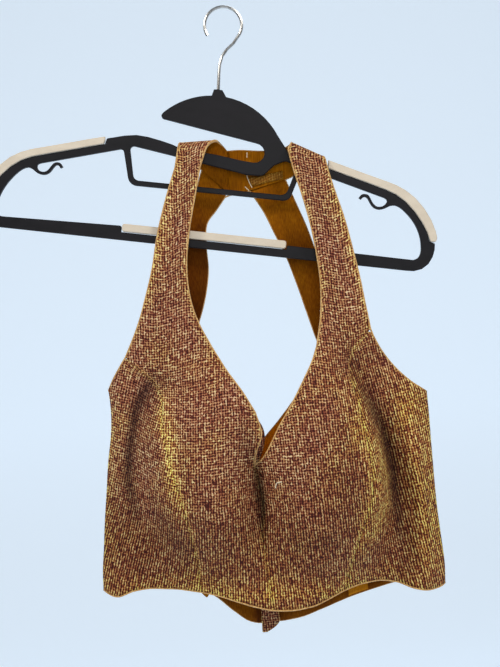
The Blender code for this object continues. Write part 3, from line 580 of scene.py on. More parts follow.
def crease_rise(creases, x, z):
    """How far the creases lift or sink the cloth at a point."""
    rise = 0.0
    for width, height, line in creases:
        if not line[-1][1] - CREASE_END < z < line[0][1] + CREASE_END:
            continue
        found = []
        for i, ((ax, az), (bx, bz)) in enumerate(zip(line, line[1:])):
            dx, dz = bx - ax, bz - az
            t = ((x - ax) * dx + (z - az) * dz) / (dx * dx + dz * dz)
            t = min(max(t, 0.0), 1.0)
            found.append((math.hypot(x - ax - dx * t, z - az - dz * t), i + t))
        off, along = min(found)
        if off < CREASE_WIDTHS * width:
            along = CREASE_STARTS + CREASE_LASTS * along / (len(line) - 1)
            rise += height * math.exp(-((off / width) ** 2)) * math.sin(math.pi * along)
    return rise


def unevenness(x, z, seed):
    """Slow hollows and swells of cloth that hangs, in millimetres."""
    return sum(
        swell.rise * noise.noise(Vector((x / swell.width, seed + swell.seed, z / swell.height)))
        for swell in SWELLS
    )


def shown_field(places, depths, creases, still_above, seed):
    """The shown cloth's depth: the tables', its creases and, low down, its unevenness."""
    depth = depth_field(places, depths)

    def at(x, z):
        uneven = share(z, still_above, still_above - STILL_REACH) * unevenness(x, z, seed)
        return depth(x, z) + crease_rise(creases, x, z) + uneven

    return at


shown_front = shown_field(FRONT_PLACES, FRONT_DEPTHS, FRONT_CREASES, -150, 1.5)
shown_back = shown_field(BACK_PLACES, BACK_DEPTHS, BACK_CREASES, -185, 4.5)


def strengths(creases, rows):
    """The creases' rise at every point of a grid, kept from 0 to 1."""
    found = np.array([[crease_rise(creases, x, z) for x, _, z in row] for row in rows])
    return np.clip(found, 0, 1)


def painted_lining_light(rows):
    """The lining's painted light and shade at every point of a grid, with painted shadow in the gap
    at the centre back.
    """
    x, z = rows[..., 0], rows[..., 2]
    heights, lefts, rights = zip(*LINING_PAINTED_LIGHT)
    tone = np.where(x < PAINTED_LIGHT_MIDDLE, np.interp(z, heights, lefts), np.interp(z, heights, rights))
    gap = share(z, *GAP_HEIGHTS) * np.exp(-(((x - GAP_X) / GAP_WIDTH) ** 2))
    return tone * (1 - GAP_PAINTED_SHADOW * gap)


def puckered(rows, column, count):
    """Small gathers along a seam, which die out a few millimetres from it."""
    rows = rows.copy()
    for row in rows[:count]:
        seam = row[column].copy()
        rise = PUCKER_RISE * math.sin(2 * math.pi * seam[2] / PUCKER_WAVE)
        row[:, 1] -= rise * np.exp(-np.linalg.norm(row - seam, axis=1) / PUCKER_REACH)
    return rows


def made_material(name):
    material = bpy.data.materials.new(name)
    material.use_nodes = True
    return material, material.node_tree, material.node_tree.nodes["Principled BSDF"]


def feed(node, inputs):
    """Links values to a node's inputs, and sets plain numbers on them."""
    for key, value in inputs.items():
        if isinstance(value, Value):
            node.id_data.links.new(value.socket, node.inputs[key])
        else:
            node.inputs[key].default_value = value


class Value:
    """A number, place or colour that a material's nodes work out."""

    def __init__(self, tree, kind, inputs=None, output=0, **settings):
        node = tree.nodes.new(kind)
        for key, value in settings.items():
            setattr(node, key, value)
        feed(node, inputs or {})
        self.tree = tree
        self.node = node
        self.socket = node.outputs[output]

    def into(self, kind, inputs=None, key=0, output=0, **settings):
        """What a new node makes of it and of its other inputs."""
        return Value(self.tree, kind, {key: self, **(inputs or {})}, output, **settings)

    def calc(self, operation, *others):
        return self.into("ShaderNodeMath", dict(enumerate(others, 1)), operation=operation)

    def __add__(self, other):
        return self.calc("ADD", other)

    def __mul__(self, other):
        return self.calc("MULTIPLY", other)

    def times_plus(self, factor, term):
        return self.calc("MULTIPLY_ADD", factor, term)

    def from_one(self):
        return self.times_plus(-1.0, 1.0)

    def wave(self, pitch, operation="SINE"):
        return (self * (2 * math.pi / pitch)).calc(operation)

    def part(self, number):
        return self.into("ShaderNodeSeparateXYZ", output=number)

    def noise(self, scale, detail=2.0, roughness=0.5, output=0):
        texture = {"Scale": scale, "Detail": detail, "Roughness": roughness}
        return self.into("ShaderNodeTexNoise", texture, "Vector", output)

    def stretched_noise(self, sizes, detail, roughness=0.5):
        place = self.into("ShaderNodeMapping", {"Scale": sizes}, "Vector")
        return place.noise(1.0, detail, roughness)

    def ramp(self, stops):
        made = self.into("ShaderNodeValToRGB")
        points = made.node.color_ramp.elements
        while len(points) < len(stops):
            points.new(0.5)
        for point, (place, colour) in zip(points, stops):
            point.position = place
            point.color = (*colour, 1)
        return made

    def mixed(self, factor, other, blend="MIX"):
        inputs = {0: factor, 7: other}
        return self.into("ShaderNodeMix", inputs, 6, 2, data_type="RGBA", blend_type=blend)


def cloth_uv(tree):
    return Value(tree, "ShaderNodeUVMap", uv_map="cloth")


def attribute(tree, name):
    return Value(tree, "ShaderNodeAttribute", output="Fac", attribute_name=name)


def finish(shader, colour, relief, strength, constants, depth=0.001):
    """Gives a shader its colour, relief and constants."""
    inputs = {"Strength": strength, "Distance": depth}
    bump = relief.into("ShaderNodeBump", inputs, "Height")
    feed(shader, {"Base Color": colour, "Normal": bump, **constants})


# Ribs up the cloth and across it: spacing in millimetres, the scale of their breaks, the height
# of the weakest and what a crinkle takes from them.
Rib = namedtuple("Rib", "pitch run weakest fading")
RIBS = table(
    Rib,
    2.5, (0.40, 0.10, 1), 0.55, 0.0,
    2.5, (0.15, 0.42, 1), 0.32, -0.55,
)
SLOW_DRIFT = 2.4  # how far noises push the ribs aside, in millimetres
QUICK_DRIFT = 1.7
GRAINS = 1.6  # grains to a rib's spacing
WEAVE_COLOURS = [
    (0.24, (0.042, 0.005, 0.003)), (0.42, (0.125, 0.021, 0.012)), (0.58, (0.27, 0.075, 0.038)),
    (0.74, (0.42, 0.185, 0.085)), (0.88, (0.56, 0.345, 0.16)), (1.0, (0.78, 0.62, 0.38)),
]
TAB_COLOURS = [
    (0.25, (0.21, 0.075, 0.004)), (0.55, (0.29, 0.110, 0.007)), (0.85, (0.37, 0.160, 0.016)),
    (1.0, (0.45, 0.23, 0.05)),
]
LINING_COLOURS = [
    (0.3, (0.15, 0.040, 0.0)), (0.5, (0.32, 0.105, 0.0)), (0.7, (0.50, 0.200, 0.004)),
]
TAPE_COLOURS = [
    (0.3, (0.36, 0.12, 0.002)), (0.5, (0.52, 0.190, 0.005)), (0.7, (0.66, 0.28, 0.015)),
]
TRIM_COLOURS = [(0.28, (0.36, 0.17, 0.045)), (0.5, (0.66, 0.37, 0.115)), (0.72, (0.86, 0.57, 0.24))]
STITCH_COLOUR = (0.16, 0.06, 0.025, 1)
# tints from random warm patches and from the painted highlight along edges
PATCH_TINTS = [(0.35, (0.96, 0.88, 0.92)), (0.55, (1.0, 1.0, 0.90)), (0.85, (1.05, 1.10, 0.70))]
PLAIN = (0.0, (1.0, 1.0, 1.0))
# darker olive cast where the cloth is crinkled, low down and at the right: partly the cloth's own
# colour, partly painted shade and sheen where it turns down and away
CRINKLE_AND_SHEEN_TINTS = [PLAIN, (1.0, (0.90, 0.86, 0.68))]
# painted sheen: lighter and yellower where the changeable cloth turns sideways
PAINTED_SHEEN_TINTS = [PLAIN, (1.0, (1.30, 1.46, 1.0))]
# painted shade: darker and duller in the hollows
PAINTED_SHADE_TINTS = [PLAIN, (1.0, (0.24, 0.17, 0.17))]
TWILL = 0.9  # millimetres from one ridge of the twill lining to the next
TRIM_RIB = 1.3  # and of the binding's ribs and stitches
TRIM_STITCH = 3.1


def woven(name, colours):
    """Gold and pale ribs both ways over a dark ground, in grains, crinkled where it says so, with
    painted highlight at the edges, painted sheen and painted shade.
    """
    material, tree, shader = made_material(name)
    uv = cloth_uv(tree)
    slow = uv.noise(0.06, output="Color")
    quick = uv.noise(0.42, 1.0, output="Color")
    rim, crinkle, gold, dark = (attribute(tree, key) for key in ("rim", "crinkle", "gold", "dark"))
    valleys = []
    cells = []
    for k, rib in enumerate(RIBS):
        moved = slow.part(k).times_plus(SLOW_DRIFT, uv.part(k))
        moved = quick.part(k).times_plus(QUICK_DRIFT, moved)
        rise = moved.wave(rib.pitch, "COSINE").times_plus(0.5, 0.5)
        breaks = uv.stretched_noise(rib.run, 2.0)
        strength = breaks.into("ShaderNodeMapRange", {1: 0.36, 2: 0.64, 3: rib.weakest, 4: 1.0})
        strength = strength * crinkle.times_plus(rib.fading, 1.0)
        valleys.append((rise * strength).from_one())
        cells.append((moved * (GRAINS / rib.pitch)).calc("FLOOR"))
    height = (valleys[0] * valleys[1]).from_one()
    cell = cells[0].into("ShaderNodeCombineXYZ", {1: cells[1]})
    grain = cell.into("ShaderNodeTexWhiteNoise", key="Vector", output="Value")
    level = height + quick.part(2).times_plus(0.8, -0.47) + grain.times_plus(0.40, -0.20)
    # Painted highlight at the edges and painted sheen lift the weave's level, and so does the
    # crinkle.
    level = level + rim * 0.08 + gold * 0.08 + crinkle * 0.05
    colour = level.ramp(colours)
    patch = uv.stretched_noise((0.03, 0.02, 1), 3.0)
    # Tints multiplied on: random patches with painted highlight at edges, the crinkle's olive cast,
    # painted sheen and painted shade.
    for amount, tints in (
        (rim.times_plus(0.3, patch), PATCH_TINTS), (crinkle, CRINKLE_AND_SHEEN_TINTS),
        (gold, PAINTED_SHEEN_TINTS), (dark, PAINTED_SHADE_TINTS),
    ):
        colour = colour.mixed(1.0, amount.ramp(tints), "MULTIPLY")
    ribs = uv.stretched_noise((0.24, 0.035, 1), 3.0, 0.55)
    relief = height.times_plus(0.5, ribs * crinkle.times_plus(3.2, 0.8))
    finish(shader, colour, relief, 0.8, {
        "Roughness": 0.72, "Specular IOR Level": 0.2, "Sheen Weight": 0.08,
        "Sheen Roughness": 0.4, "Sheen Tint": (1.0, 0.8, 0.4, 1),
    })
    return material


def mustard(name, colours):
    """Fine twill lining with a soft sheen and faint creases, with painted light and shade from its
    attribute.
    """
    material, tree, shader = made_material(name)
    uv = cloth_uv(tree)
    across, along = uv.part(0), uv.part(1)
    ridge = (across + along * 0.7).wave(TWILL)
    grain = uv.stretched_noise((1.4, 0.2, 1), 3.0)
    patch = uv.stretched_noise((0.035, 0.02, 1), 3.0)
    base = grain.times_plus(0.55, patch * 0.45).ramp(colours)
    # painted light and shade: lighter or darker as the attribute says, and warmer where it is
    # darkened
    tone = attribute(tree, "tone")
    lines = tone * ridge.times_plus(0.08, 0.92)
    cooler = lines * tone.calc("POWER", 0.35).calc("MINIMUM", 0.95)
    tint = lines.into("ShaderNodeCombineXYZ", {1: cooler, 2: cooler})
    folds = uv.stretched_noise((0.09, 0.022, 1), 2.0)
    finish(
        shader, base.mixed(1.0, tint, "MULTIPLY"), folds.times_plus(2.2, ridge * 0.05), 0.6,
        {"Roughness": 0.7, "Specular IOR Level": 0.06},
    )
    return material


def tan_trim():
    """Narrow bias binding: slanting ribs, a row of stitches along its middle."""
    material, tree, shader = made_material("tan_binding")
    uv = cloth_uv(tree)
    across, along = uv.part(0), uv.part(1)
    rib = (along + across).wave(TRIM_RIB)
    blotch = uv.stretched_noise((0.4, 0.16, 1), 3.0, 0.6)
    stitch = along.wave(TRIM_STITCH).calc("GREATER_THAN", 0.55)
    colour = blotch.ramp(TRIM_COLOURS).mixed(stitch * 0.2, STITCH_COLOUR)
    relief = rib.times_plus(0.12, blotch.times_plus(0.5, stitch * -0.3))
    finish(shader, colour, relief, 0.7, {"Roughness": 0.6, "Sheen Weight": 0.2})
    return material


def plain_thread(name, colour):
    material, _, shader = made_material(name)
    feed(shader, {"Base Color": (*colour, 1), "Roughness": 0.7})
    return material


def plastic(name, dark, light, roughness, relief, gloss):
    """Moulded plastic or rubber with a fine grain, and faint marks."""
    material, tree, shader = made_material(name)
    place = Value(tree, "ShaderNodeTexCoord", output="Object")
    grain = place.noise(2600.0)
    marks = place.stretched_noise((40, 40, 90), 4.0, 0.6)
    colour = grain.times_plus(0.3, marks * 0.7).ramp([(0.35, dark), (0.65, light)])
    rough = marks.times_plus(0.2, roughness - 0.1)
    constants = {"Roughness": rough, "Specular IOR Level": gloss}
    finish(shader, colour, grain, relief, constants, depth=0.0002)
    return material


def wire():
    material, tree, shader = made_material("plated_wire")
    place = Value(tree, "ShaderNodeTexCoord", output="Object")
    marks = place.stretched_noise((300, 300, 60), 4.0)
    colour = marks.ramp([(0.3, (0.42, 0.40, 0.38)), (0.7, (0.66, 0.65, 0.63))])
    feed(shader, {
        "Base Color": colour, "Roughness": marks.times_plus(0.3, 0.12), "Metallic": 1.0,
    })
    return material


def eased(values, passes=30):
    """A grid of values with its small unevenness taken out."""
    for _ in range(passes):
        wide = np.pad(values, 1, mode="edge")
        values = (wide[:-2, 1:-1] + wide[2:, 1:-1] + wide[1:-1, :-2] + wide[1:-1, 2:]) / 4
    return values


def cloth_places(rows, turned, folded=None):
    """Flat places of a grid's points in millimetres, with the threads turned by an angle.

    From the row where a strap folds over the bar, they are measured along the strap.
    """
    x, z = rows[..., 0], rows[..., 2]
    depth = eased(rows[..., 1])
    middle = rows.shape[1] // 2
    across = np.cumsum(np.hypot(np.diff(x, axis=1), np.diff(depth, axis=1)), axis=1)
    across = np.pad(across, ((0, 0), (1, 0)))
    way = np.sign(x[:1, -1:] - x[:1, :1])
    u = x[:, middle:middle + 1] + way * (across - across[:, middle:middle + 1])
    along = np.cumsum(np.hypot(np.diff(z, axis=0), np.diff(depth, axis=0)), axis=0)
    v = z[:1] + np.pad(along, ((1, 0), (0, 0)))
    if folded is not None:
        widths = np.linalg.norm(rows[folded:, -1] - rows[folded:, 0], axis=1)
        narrowed = (widths / widths[0])[:, None]
        u[folded:] = u[folded, middle] + (u[folded] - u[folded, middle]) * narrowed
        steps = np.linalg.norm(np.diff(rows[folded:, middle], axis=0), axis=1)
        v[folded + 1:] = v[folded] + np.cumsum(steps)[:, None]
    c, s = math.cos(turned), math.sin(turned)
    return u * c - v * s, u * s + v * c


def linked(name, points, faces, material):
    """A smooth object in the scene, from points in metres."""
    mesh = bpy.data.meshes.new(name)
    mesh.from_pydata([tuple(point) for point in points], [], faces)
    mesh.materials.append(material)
    mesh.shade_smooth()
    made = bpy.data.objects.new(name, mesh)
    bpy.context.scene.collection.objects.link(made)
    return made


def grid_faces(count, columns, closed, first=0):
    faces = []
    for i in range(count if closed[0] else count - 1):
        for j in range(columns if closed[1] else columns - 1):
            low = first + i * columns
            high = first + (i + 1) % count * columns
            m = (j + 1) % columns
            faces.append((low + j, low + m, high + m, high + j))
    return faces


def round_section(middle, side, up, sides, radius):
    """Points round a middle, or round each point of a line."""
    angles = [2 * math.pi * k / sides for k in range(sides)]
    return [middle + (side * math.cos(a) + up * math.sin(a)) * radius for a in angles]


def grid_piece(
    name, rows, material, uv, nodes=(), thickness=0.0, attributes=None, inside=None,
    closed=(False, False),
):
    """A piece from a grid of points in millimetres, with its threads' places and a wall.

    A front piece can have another material on its inside.
    """
    faces = grid_faces(*rows.shape[:2], closed)
    if inside and np.cross(rows[0, 1] - rows[0, 0], rows[1, 0] - rows[0, 0])[1] > 0:
        faces = [face[::-1] for face in faces]
    made = linked(name, (rows * MM).reshape(-1, 3), faces, material)
    mesh = made.data
    layer = mesh.uv_layers.new(name="cloth")
    flat = np.stack(uv, axis=-1).reshape(-1, 2)
    index = np.zeros(len(mesh.loops), np.int32)
    mesh.loops.foreach_get("vertex_index", index)
    layer.data.foreach_set("uv", flat[index].astype(np.float32).ravel())
    for key, values in (attributes or {}).items():
        marks = mesh.attributes.new(key, "FLOAT", "POINT")
        marks.data.foreach_set("value", np.asarray(values, np.float32).ravel())
    if thickness:
        wall = made.modifiers.new("Wall", "SOLIDIFY")
        wall.thickness = thickness * MM
        wall.offset = 0
        if inside:
            mesh.materials.append(inside)
            wall.material_offset = 1
    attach(made, "root")
    if nodes:
        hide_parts(*nodes)
    return made


def lengths(rows, axis):
    return np.linalg.norm(np.diff(rows, axis=axis), axis=2)


def grid_area(rows):
    one = np.cross(rows[1:, :-1] - rows[:-1, :-1], rows[:-1, 1:] - rows[:-1, :-1])
    two = np.cross(rows[1:, :-1] - rows[1:, 1:], rows[:-1, 1:] - rows[1:, 1:])
    return (np.linalg.norm(one, axis=2) + np.linalg.norm(two, axis=2)).sum() / 2


def declare(rows):
    """Works out a piece's width, length and area, and does nothing with them."""
    width = lengths(rows, 1).sum(axis=1).max() * MM
    length = lengths(rows, 0).sum(axis=0).max() * MM
    area = min(grid_area(rows) * MM * MM, width * length)


def rim_of(rows, reach):
    """1 at a grid's edges and 0 from reach millimetres inwards."""
    ways = []
    for axis in (0, 1):
        way = np.cumsum(np.insert(lengths(rows, axis), 0, 0, axis=axis), axis=axis)
        ways += [way, np.take(way, [-1], axis=axis) - way]
    return np.clip(1 - np.minimum.reduce(ways) / reach, 0, 1) ** 1.5


ROLL = 12  # sides of a binding's section
WRAP = 0.1  # from the cloth's edge to the middle of the binding round it
BINDING_WIDTH = 1.6
BINDING_THICKNESS = 2.6
BINDING_INSET = 0.45
SHARPEST = 0.38  # least share of a straight step that a sharp corner counts as
SQUARENESS = 0.75  # under 1, a binding's section is squarer than an oval
WOBBLE = 0.10
WOBBLE_LENGTH = 9
ROUND = 8.0  # width of the binding's cloth, round its section


def superellipse(value, size):
    return math.copysign(abs(value) ** SQUARENESS, value) * size / 2


def rolled(name, edge, material, cyclic=True):
    """A rounded binding folded over an edge, in place of the solid's flat one."""
    points = [row[0] for row in edge]
    count = len(points)
    rings = []
    along = [0.0]
    for i, (point, normal, hint) in enumerate(edge):
        before = point - points[i - 1]
        after = points[(i + 1) % count] - point
        if i:
            along.append(along[-1] + float(np.linalg.norm(before)))
        if not cyclic and i == 0:
            before = after
        if not cyclic and i == count - 1:
            after = before
        tangent = np.zeros(3)
        for step in (before, after):
            step = step - normal * (step @ normal)
            tangent += step / max(np.linalg.norm(step), 1e-9) / 2
        away = np.cross(tangent, normal)
        away /= np.linalg.norm(away)
        away *= math.copysign(1.0, away @ hint) / max(SHARPEST, np.linalg.norm(tangent))
        wobble = 1 + WOBBLE * noise.noise(Vector(point) / WOBBLE_LENGTH)
        middle = point - normal * BINDING_INSET + away * WRAP
        ring = []
        for k in range(ROLL):
            angle = 2 * math.pi * k / ROLL
            wide = superellipse(math.cos(angle), BINDING_WIDTH) * wobble
            thick = superellipse(math.sin(angle), BINDING_THICKNESS) * wobble
            ring.append(middle + away * wide + normal * thick)
        rings.append(ring)
    if not cyclic:
        caps = [[np.mean(ring, axis=0)] * ROLL for ring in (rings[0], rings[-1])]
        rings = [caps[0], *rings, caps[1]]
        along = [along[0], *along, along[-1]]
    rows = np.array(rings)
    u = np.tile(np.arange(ROLL) * (ROUND / ROLL), (len(rows), 1))
    v = np.tile(np.array(along)[:, None], (1, ROLL))
    nodes = [name.replace("edge", "binding")]
    return grid_piece(name, rows, material, (u, v), nodes, closed=(cyclic, True))


STITCH = 2.0  # a stitch's length, and the gap after it
STITCH_GAP = 1.2
STITCH_RADIUS = 0.28
STITCH_SIDES = 5
STITCH_RISES = (-0.2, 0.25, -0.2)


def stitch_row(name, points, normals, lift, material):
    """A row of separate stitches along a line of points that lies on the cloth."""
    place = np.cumsum([0, *np.linalg.norm(np.diff(points, axis=0), axis=1)])
    verts = []
    faces = []
    start = STITCH_GAP
    while start + STITCH < place[-1]:
        at = [start, start + STITCH / 2, start + STITCH]
        middles, ways = (
            np.stack([np.interp(at, place, line[:, k]) for k in range(3)], axis=1)
            for line in (points, normals)
        )
        ways /= np.linalg.norm(ways, axis=1, keepdims=True)
        direction = middles[2] - middles[0]
        direction /= np.linalg.norm(direction)
        first = len(verts)
        for middle, way, rise in zip(middles, ways, STITCH_RISES):
            middle += way * (lift + rise)
            side = np.cross(direction, way)
            section = round_section(middle, side, way, STITCH_SIDES, STITCH_RADIUS)
            verts += [point * MM for point in section]
        faces += grid_faces(len(STITCH_RISES), STITCH_SIDES, (False, True), first)
        faces.append(tuple(range(first, first + STITCH_SIDES))[::-1])
        faces.append(tuple(range(first + 2 * STITCH_SIDES, first + 3 * STITCH_SIDES)))
        start += STITCH + STITCH_GAP
    made = linked(name, verts, faces, material)
    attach(made, "root")


STEPS = 5  # drawn rungs to each of the tables'
TURN_STEPS = 3  # and to each on the way over the bar
NAPE_MEET = 0.35  # how much further the cloth goes at its seams than the solids do
MIDDLE_MEET = 0.5
TOP_MEET = 1.1
SIDE_MEET = 0.5  # how far from the hanger's plane the cloth is at the side seams
CENTRE_COLUMNS = 44
SIDE_COLUMNS = 30
BACK_COLUMNS = 40
NECK_FOOT = 6  # rung at which the two front panels part
FOLD_ROW = 2  # rows past the strap where its cloth starts to run along it
NAPE_CORNER = 8  # rungs of the turn where the armhole ends and the keyhole begins
KEYHOLE_TOP = 10
PANEL_RIM = 7.0  # width of the painted highlight along the edges of each kind of panel
FLANK_RIM = 5.0
BACK_RIM = 6.0
CRINKLE_LOW = (-430, -500)  # heights, and x, over which the crinkles set in
CRINKLE_DOWN = (-300, -360)
CRINKLE_RIGHT = (40, 100)
CRINKLE_SIDE = 0.7
GRAIN = {"left": math.radians(2), "right": math.radians(-3)}
SIDE_GRAIN = {"left": math.radians(15), "right": math.radians(-10)}


def marked(rows, reach, painted_sheen_lines, dark):
    """What the woven material reads at every point of a piece: crinkled low down and right, with
    painted highlight at its edges, painted sheen, painted shade and painted light.
    """
    x, z = rows[..., 0], rows[..., 2]
    right = share(x, *CRINKLE_RIGHT) * share(z, *CRINKLE_DOWN)
    crinkle = np.clip(share(z, *CRINKLE_LOW) + CRINKLE_SIDE * right, 0, 1)
    return {
        "rim": rim_of(rows, reach), "crinkle": crinkle,
        "gold": strengths(painted_sheen_lines, rows), "dark": strengths(dark, rows), "tone": painted_lining_light(rows),
    }


def lining_piece(name, rows, looks, node):
    return grid_piece(
        name, rows, looks["mustard"], cloth_places(rows, 0.0), [node], SHOWN_LINING,
        {"tone": painted_lining_light(rows)},
    )


def panel_piece(name, node, shown, places, marks, looks, inside=None):
    return grid_piece(
        name, shown, looks["woven"], places, [node], SHOWN_CLOTH,
        marked(shown, *marks), inside,
    )


def front_half(side, rungs, underarm, strap, turn, looks):
    """A cup panel with its strap, its side panel and the strap's lining."""
    lower = broken_rungs(rungs, [underarm], STEPS)
    hem = (front_hem, HEM_FADE * STEPS)
    centre = laid_on(shown_front, -1, lower[:, 0:4], CENTRE_COLUMNS, *hem)
    upper = laid_on(shown_front, -1, between_rungs(strap, STEPS), CENTRE_COLUMNS)
    inner, outer = upper[-1][0], upper[-1][-1]
    turned = across_turn(between_rungs([(*outer, *inner), *turn], TURN_STEPS), CENTRE_COLUMNS)
    turned[-1, :, 0] += math.copysign(NAPE_MEET, -turned[0, 0, 0])
    foot = len(lower) - 1
    turn_row = foot + len(upper) + FOLD_ROW
    tip = NECK_FOOT * STEPS
    centre = puckered(np.concatenate([centre[:-1], upper, turned[1:]]), -1, foot)
    flank = laid_on(shown_front, -1, lower[:, 2:6], SIDE_COLUMNS, *hem)
    flank[:underarm * STEPS, -1, 1] = -SIDE_MEET
    flank = puckered(flank, 0, foot)
    normals = outward(centre, (0, -1, 0))
    flank_normals = outward(flank, (0, -1, 0))
    shown = drawn_in(drawn_in(centre, SEAM_SETBACK, foot, last=True), SEAM_SETBACK, tip + 1)
    panel = panel_piece(
        f"front_panel_{side}", f"front_centre_{side}", shown,
        cloth_places(centre, GRAIN[side], turn_row), (PANEL_RIM, PAINTED_SHEEN_FRONT, PAINTED_SHADE_FRONT),
        looks, looks["mustard"],
    )
    side_shown = top_drawn_in(drawn_in(flank, SEAM_SETBACK), FLANK_SETBACK)
    side_piece = panel_piece(
        f"front_flank_{side}", f"front_side_{side}", side_shown,
        cloth_places(flank, SIDE_GRAIN[side]), (FLANK_RIM, PAINTED_SHEEN_FRONT, PAINTED_SHADE_FRONT),
        looks, looks["mustard"],
    )
    lining = (centre - normals * LINING_INSET)[foot + STEPS:]
    inside = lining_piece(f"strap_inside_{side}", lining, looks, f"strap_lining_{side}")
    armhole_end = turn_row + NAPE_CORNER * TURN_STEPS + 1
    return {
        "neck": edge_of(centre, normals, 0, tip),
        "armhole": (
            edge_of(flank, flank_normals, -1, underarm * STEPS, len(flank) - 1)
            + edge_of(centre, normals, -1, foot, armhole_end)
        ),
        "keyhole": edge_of(centre, normals, -1, turn_row + KEYHOLE_TOP * TURN_STEPS),
        "hem": hem_of(centre, normals), "hem_side": hem_of(flank, flank_normals),
        "rows": centre, "normals": normals, "foot": foot, "turn_row": turn_row,
        "panel": (panel, shown), "flank": (side_piece, side_shown), "lining": (inside, lining),
    }


def back_half(side, rungs, looks):
    """A back panel and its lining."""
    edges = broken_rungs(rungs, [KEYHOLE_FOOT, BACK_UNDERARM], STEPS)
    underarm = BACK_UNDERARM * STEPS
    foot = KEYHOLE_FOOT * STEPS
    rows = laid_on(shown_back, 1, edges, BACK_COLUMNS, back_hem, HEM_FADE * STEPS)
    rows[:underarm, -1, 1] = SIDE_MEET
    rows = top_drawn_in(drawn_in(rows, -MIDDLE_MEET, foot + 1), -TOP_MEET)
    normals = outward(rows, (0, 1, 0))
    panel = panel_piece(
        f"back_panel_{side}", f"back_{side}", rows, cloth_places(rows, GRAIN[side]),
        (BACK_RIM, PAINTED_SHEEN_BACK, PAINTED_SHADE_BACK), looks,
    )
    lining = rows - normals * LINING_INSET
    lining = drawn_in(lining, SIDE_SETBACK, underarm + LINING_ABOVE, last=True)
    inside = lining_piece(f"back_inside_{side}", lining, looks, f"back_lining_{side}")
    return {
        "keyhole": edge_of(rows, normals, 0, foot), "armhole": edge_of(rows, normals, -1, underarm),
        "hem": hem_of(rows, normals), "panel": (panel, rows), "lining": (inside, lining),
    }


# Millimetres of the edges' rows that are left out where a binding turns a corner.
TIP_CLEAR = {"left": 5.5, "right": 6.5}
NAPE_CLEAR = 4.5
UNDERARM_CLEAR = 6.0
TOP_CLEAR = 4.0
FOOT_CLEAR = 7.0
KEYHOLE_CLEAR = {"left": 5.0, "right": 3.0}


def clear_of(edge, *corners):
    """The edge without the rows nearer to a corner's point than its reach."""
    return [
        row for row in edge
        if all(np.linalg.norm(row[0] - end[0]) > reach for end, reach in corners)
    ]


def bindings(fronts, backs, look):
    """A binding round every opening and along every hem, from its rows of edge."""
    up = (0, 0, 1)
    left, right = fronts["left"], fronts["right"]
    tip = corner(left["neck"][0], right["neck"][0], up)
    nape = corner(left["neck"][-1], right["neck"][-1], up)
    sides = [
        clear_of(fronts[side]["neck"], (tip, TIP_CLEAR[side]), (nape, NAPE_CLEAR))
        for side in ("left", "right")
    ]
    edges = {"neck_edge": [tip, *sides[0], nape, *sides[1][::-1]]}
    for side, front in fronts.items():
        back = backs[side]
        underarm = corner(front["armhole"][0], back["armhole"][0], up)
        near = (underarm, UNDERARM_CLEAR)
        top = (front["armhole"][-1], TOP_CLEAR)
        edges[f"armhole_edge_{side}"] = [
            underarm, *clear_of(front["armhole"], near),
            *clear_of(back["armhole"], near, top)[::-1],
        ]
    foot = corner(backs["left"]["keyhole"][0], backs["right"]["keyhole"][0], up)
    nape = corner(left["keyhole"][-1], right["keyhole"][-1], (0, 0, -1))
    ends = {"left": nape, "right": right["keyhole"][0]}
    sides = [
        clear_of(backs[side]["keyhole"], (foot, FOOT_CLEAR), (ends[side], KEYHOLE_CLEAR[side]))
        for side in ("left", "right")
    ]
    edges["keyhole_edge"] = [
        foot, *sides[0], nape, *clear_of(right["keyhole"][:-1][::-1], (nape, TOP_CLEAR)),
        *sides[1][::-1],
    ]
    edges["front_hem_edge"] = (
        left["hem_side"][::-1] + left["hem"][-2::-1] + right["hem"][1:] + right["hem_side"][1:]
    )
    for side, back in backs.items():
        edges[f"back_hem_edge_{side}"] = back["hem"][:-2]
    return {name: rolled(name, edge, look, "hem" not in name) for name, edge in edges.items()}


STRIP_STEPS = 4  # drawn rows to each row of a small piece's table


def lattice(rows, columns, place):
    """A grid of what place gives for the share up and the share across."""
    return [[place(i / rows, k / columns) for k in range(columns + 1)] for i in range(rows + 1)]


def strip(rungs, columns, depth):
    """A grid across each row of a table, at the depth of its x, height and share across."""
    grid = []
    for left_x, left_z, right_x, right_z in between_rungs(rungs, STRIP_STEPS):
        row = []
        for k in range(columns + 1):
            s = k / columns
            x = left_x + (right_x - left_x) * s
            z = left_z + (right_z - left_z) * s
            row.append((x, depth(x, z, s), z))
        grid.append(row)
    return grid


INNER_FACE = LINING_INSET + LINING / 2 + 0.3
BACK_FOOT = -600  # height below which the tie's end hangs straight down
TIE_LIFT = 1.6  # how far small pieces stand off the cloth behind them
CURL_LIFT = 1.6
CURL_RISE = 3.0
TIE_WAVE = 0.5
TIE_TURNS = 6.4
PATCH_GAP = 1.3
PATCH_LEFT = 89
PATCH_WIDTH = 19.5
PATCH_BOTTOM = 1.5  # above the hem
PATCH_HEIGHT = 15
TAB_GAP = 0.5
TAB_LEFT = 15
TAB_WIDTH = 34
TAB_TOP = -164.5
TAB_HEIGHT = 7.5
TAB_RISE = 5  # from its left end to its right
TAB_SLANT = 3.5  # of its left end
TAB_WAVE = 0.3
TAB_TURNS = 9
NAPE_DEPTH = 9.2
SMALL_WALL = 0.7
SMALL_RIM = 3.0
SMALL_GRAIN = 0.06
# painted shade on the neck's curl, which lies in the left cup's shadow
CURL_PAINTED_SHADE = 0.6


def tie_depth(x, z, s):
    wave = TIE_WAVE * math.sin(TIE_TURNS * s)
    return shown_back(x, max(z, BACK_FOOT)) - INNER_FACE - TIE_LIFT - wave


def curl_depth(x, z, s):
    return -shown_front(x, z) + CURL_LIFT + CURL_RISE * s


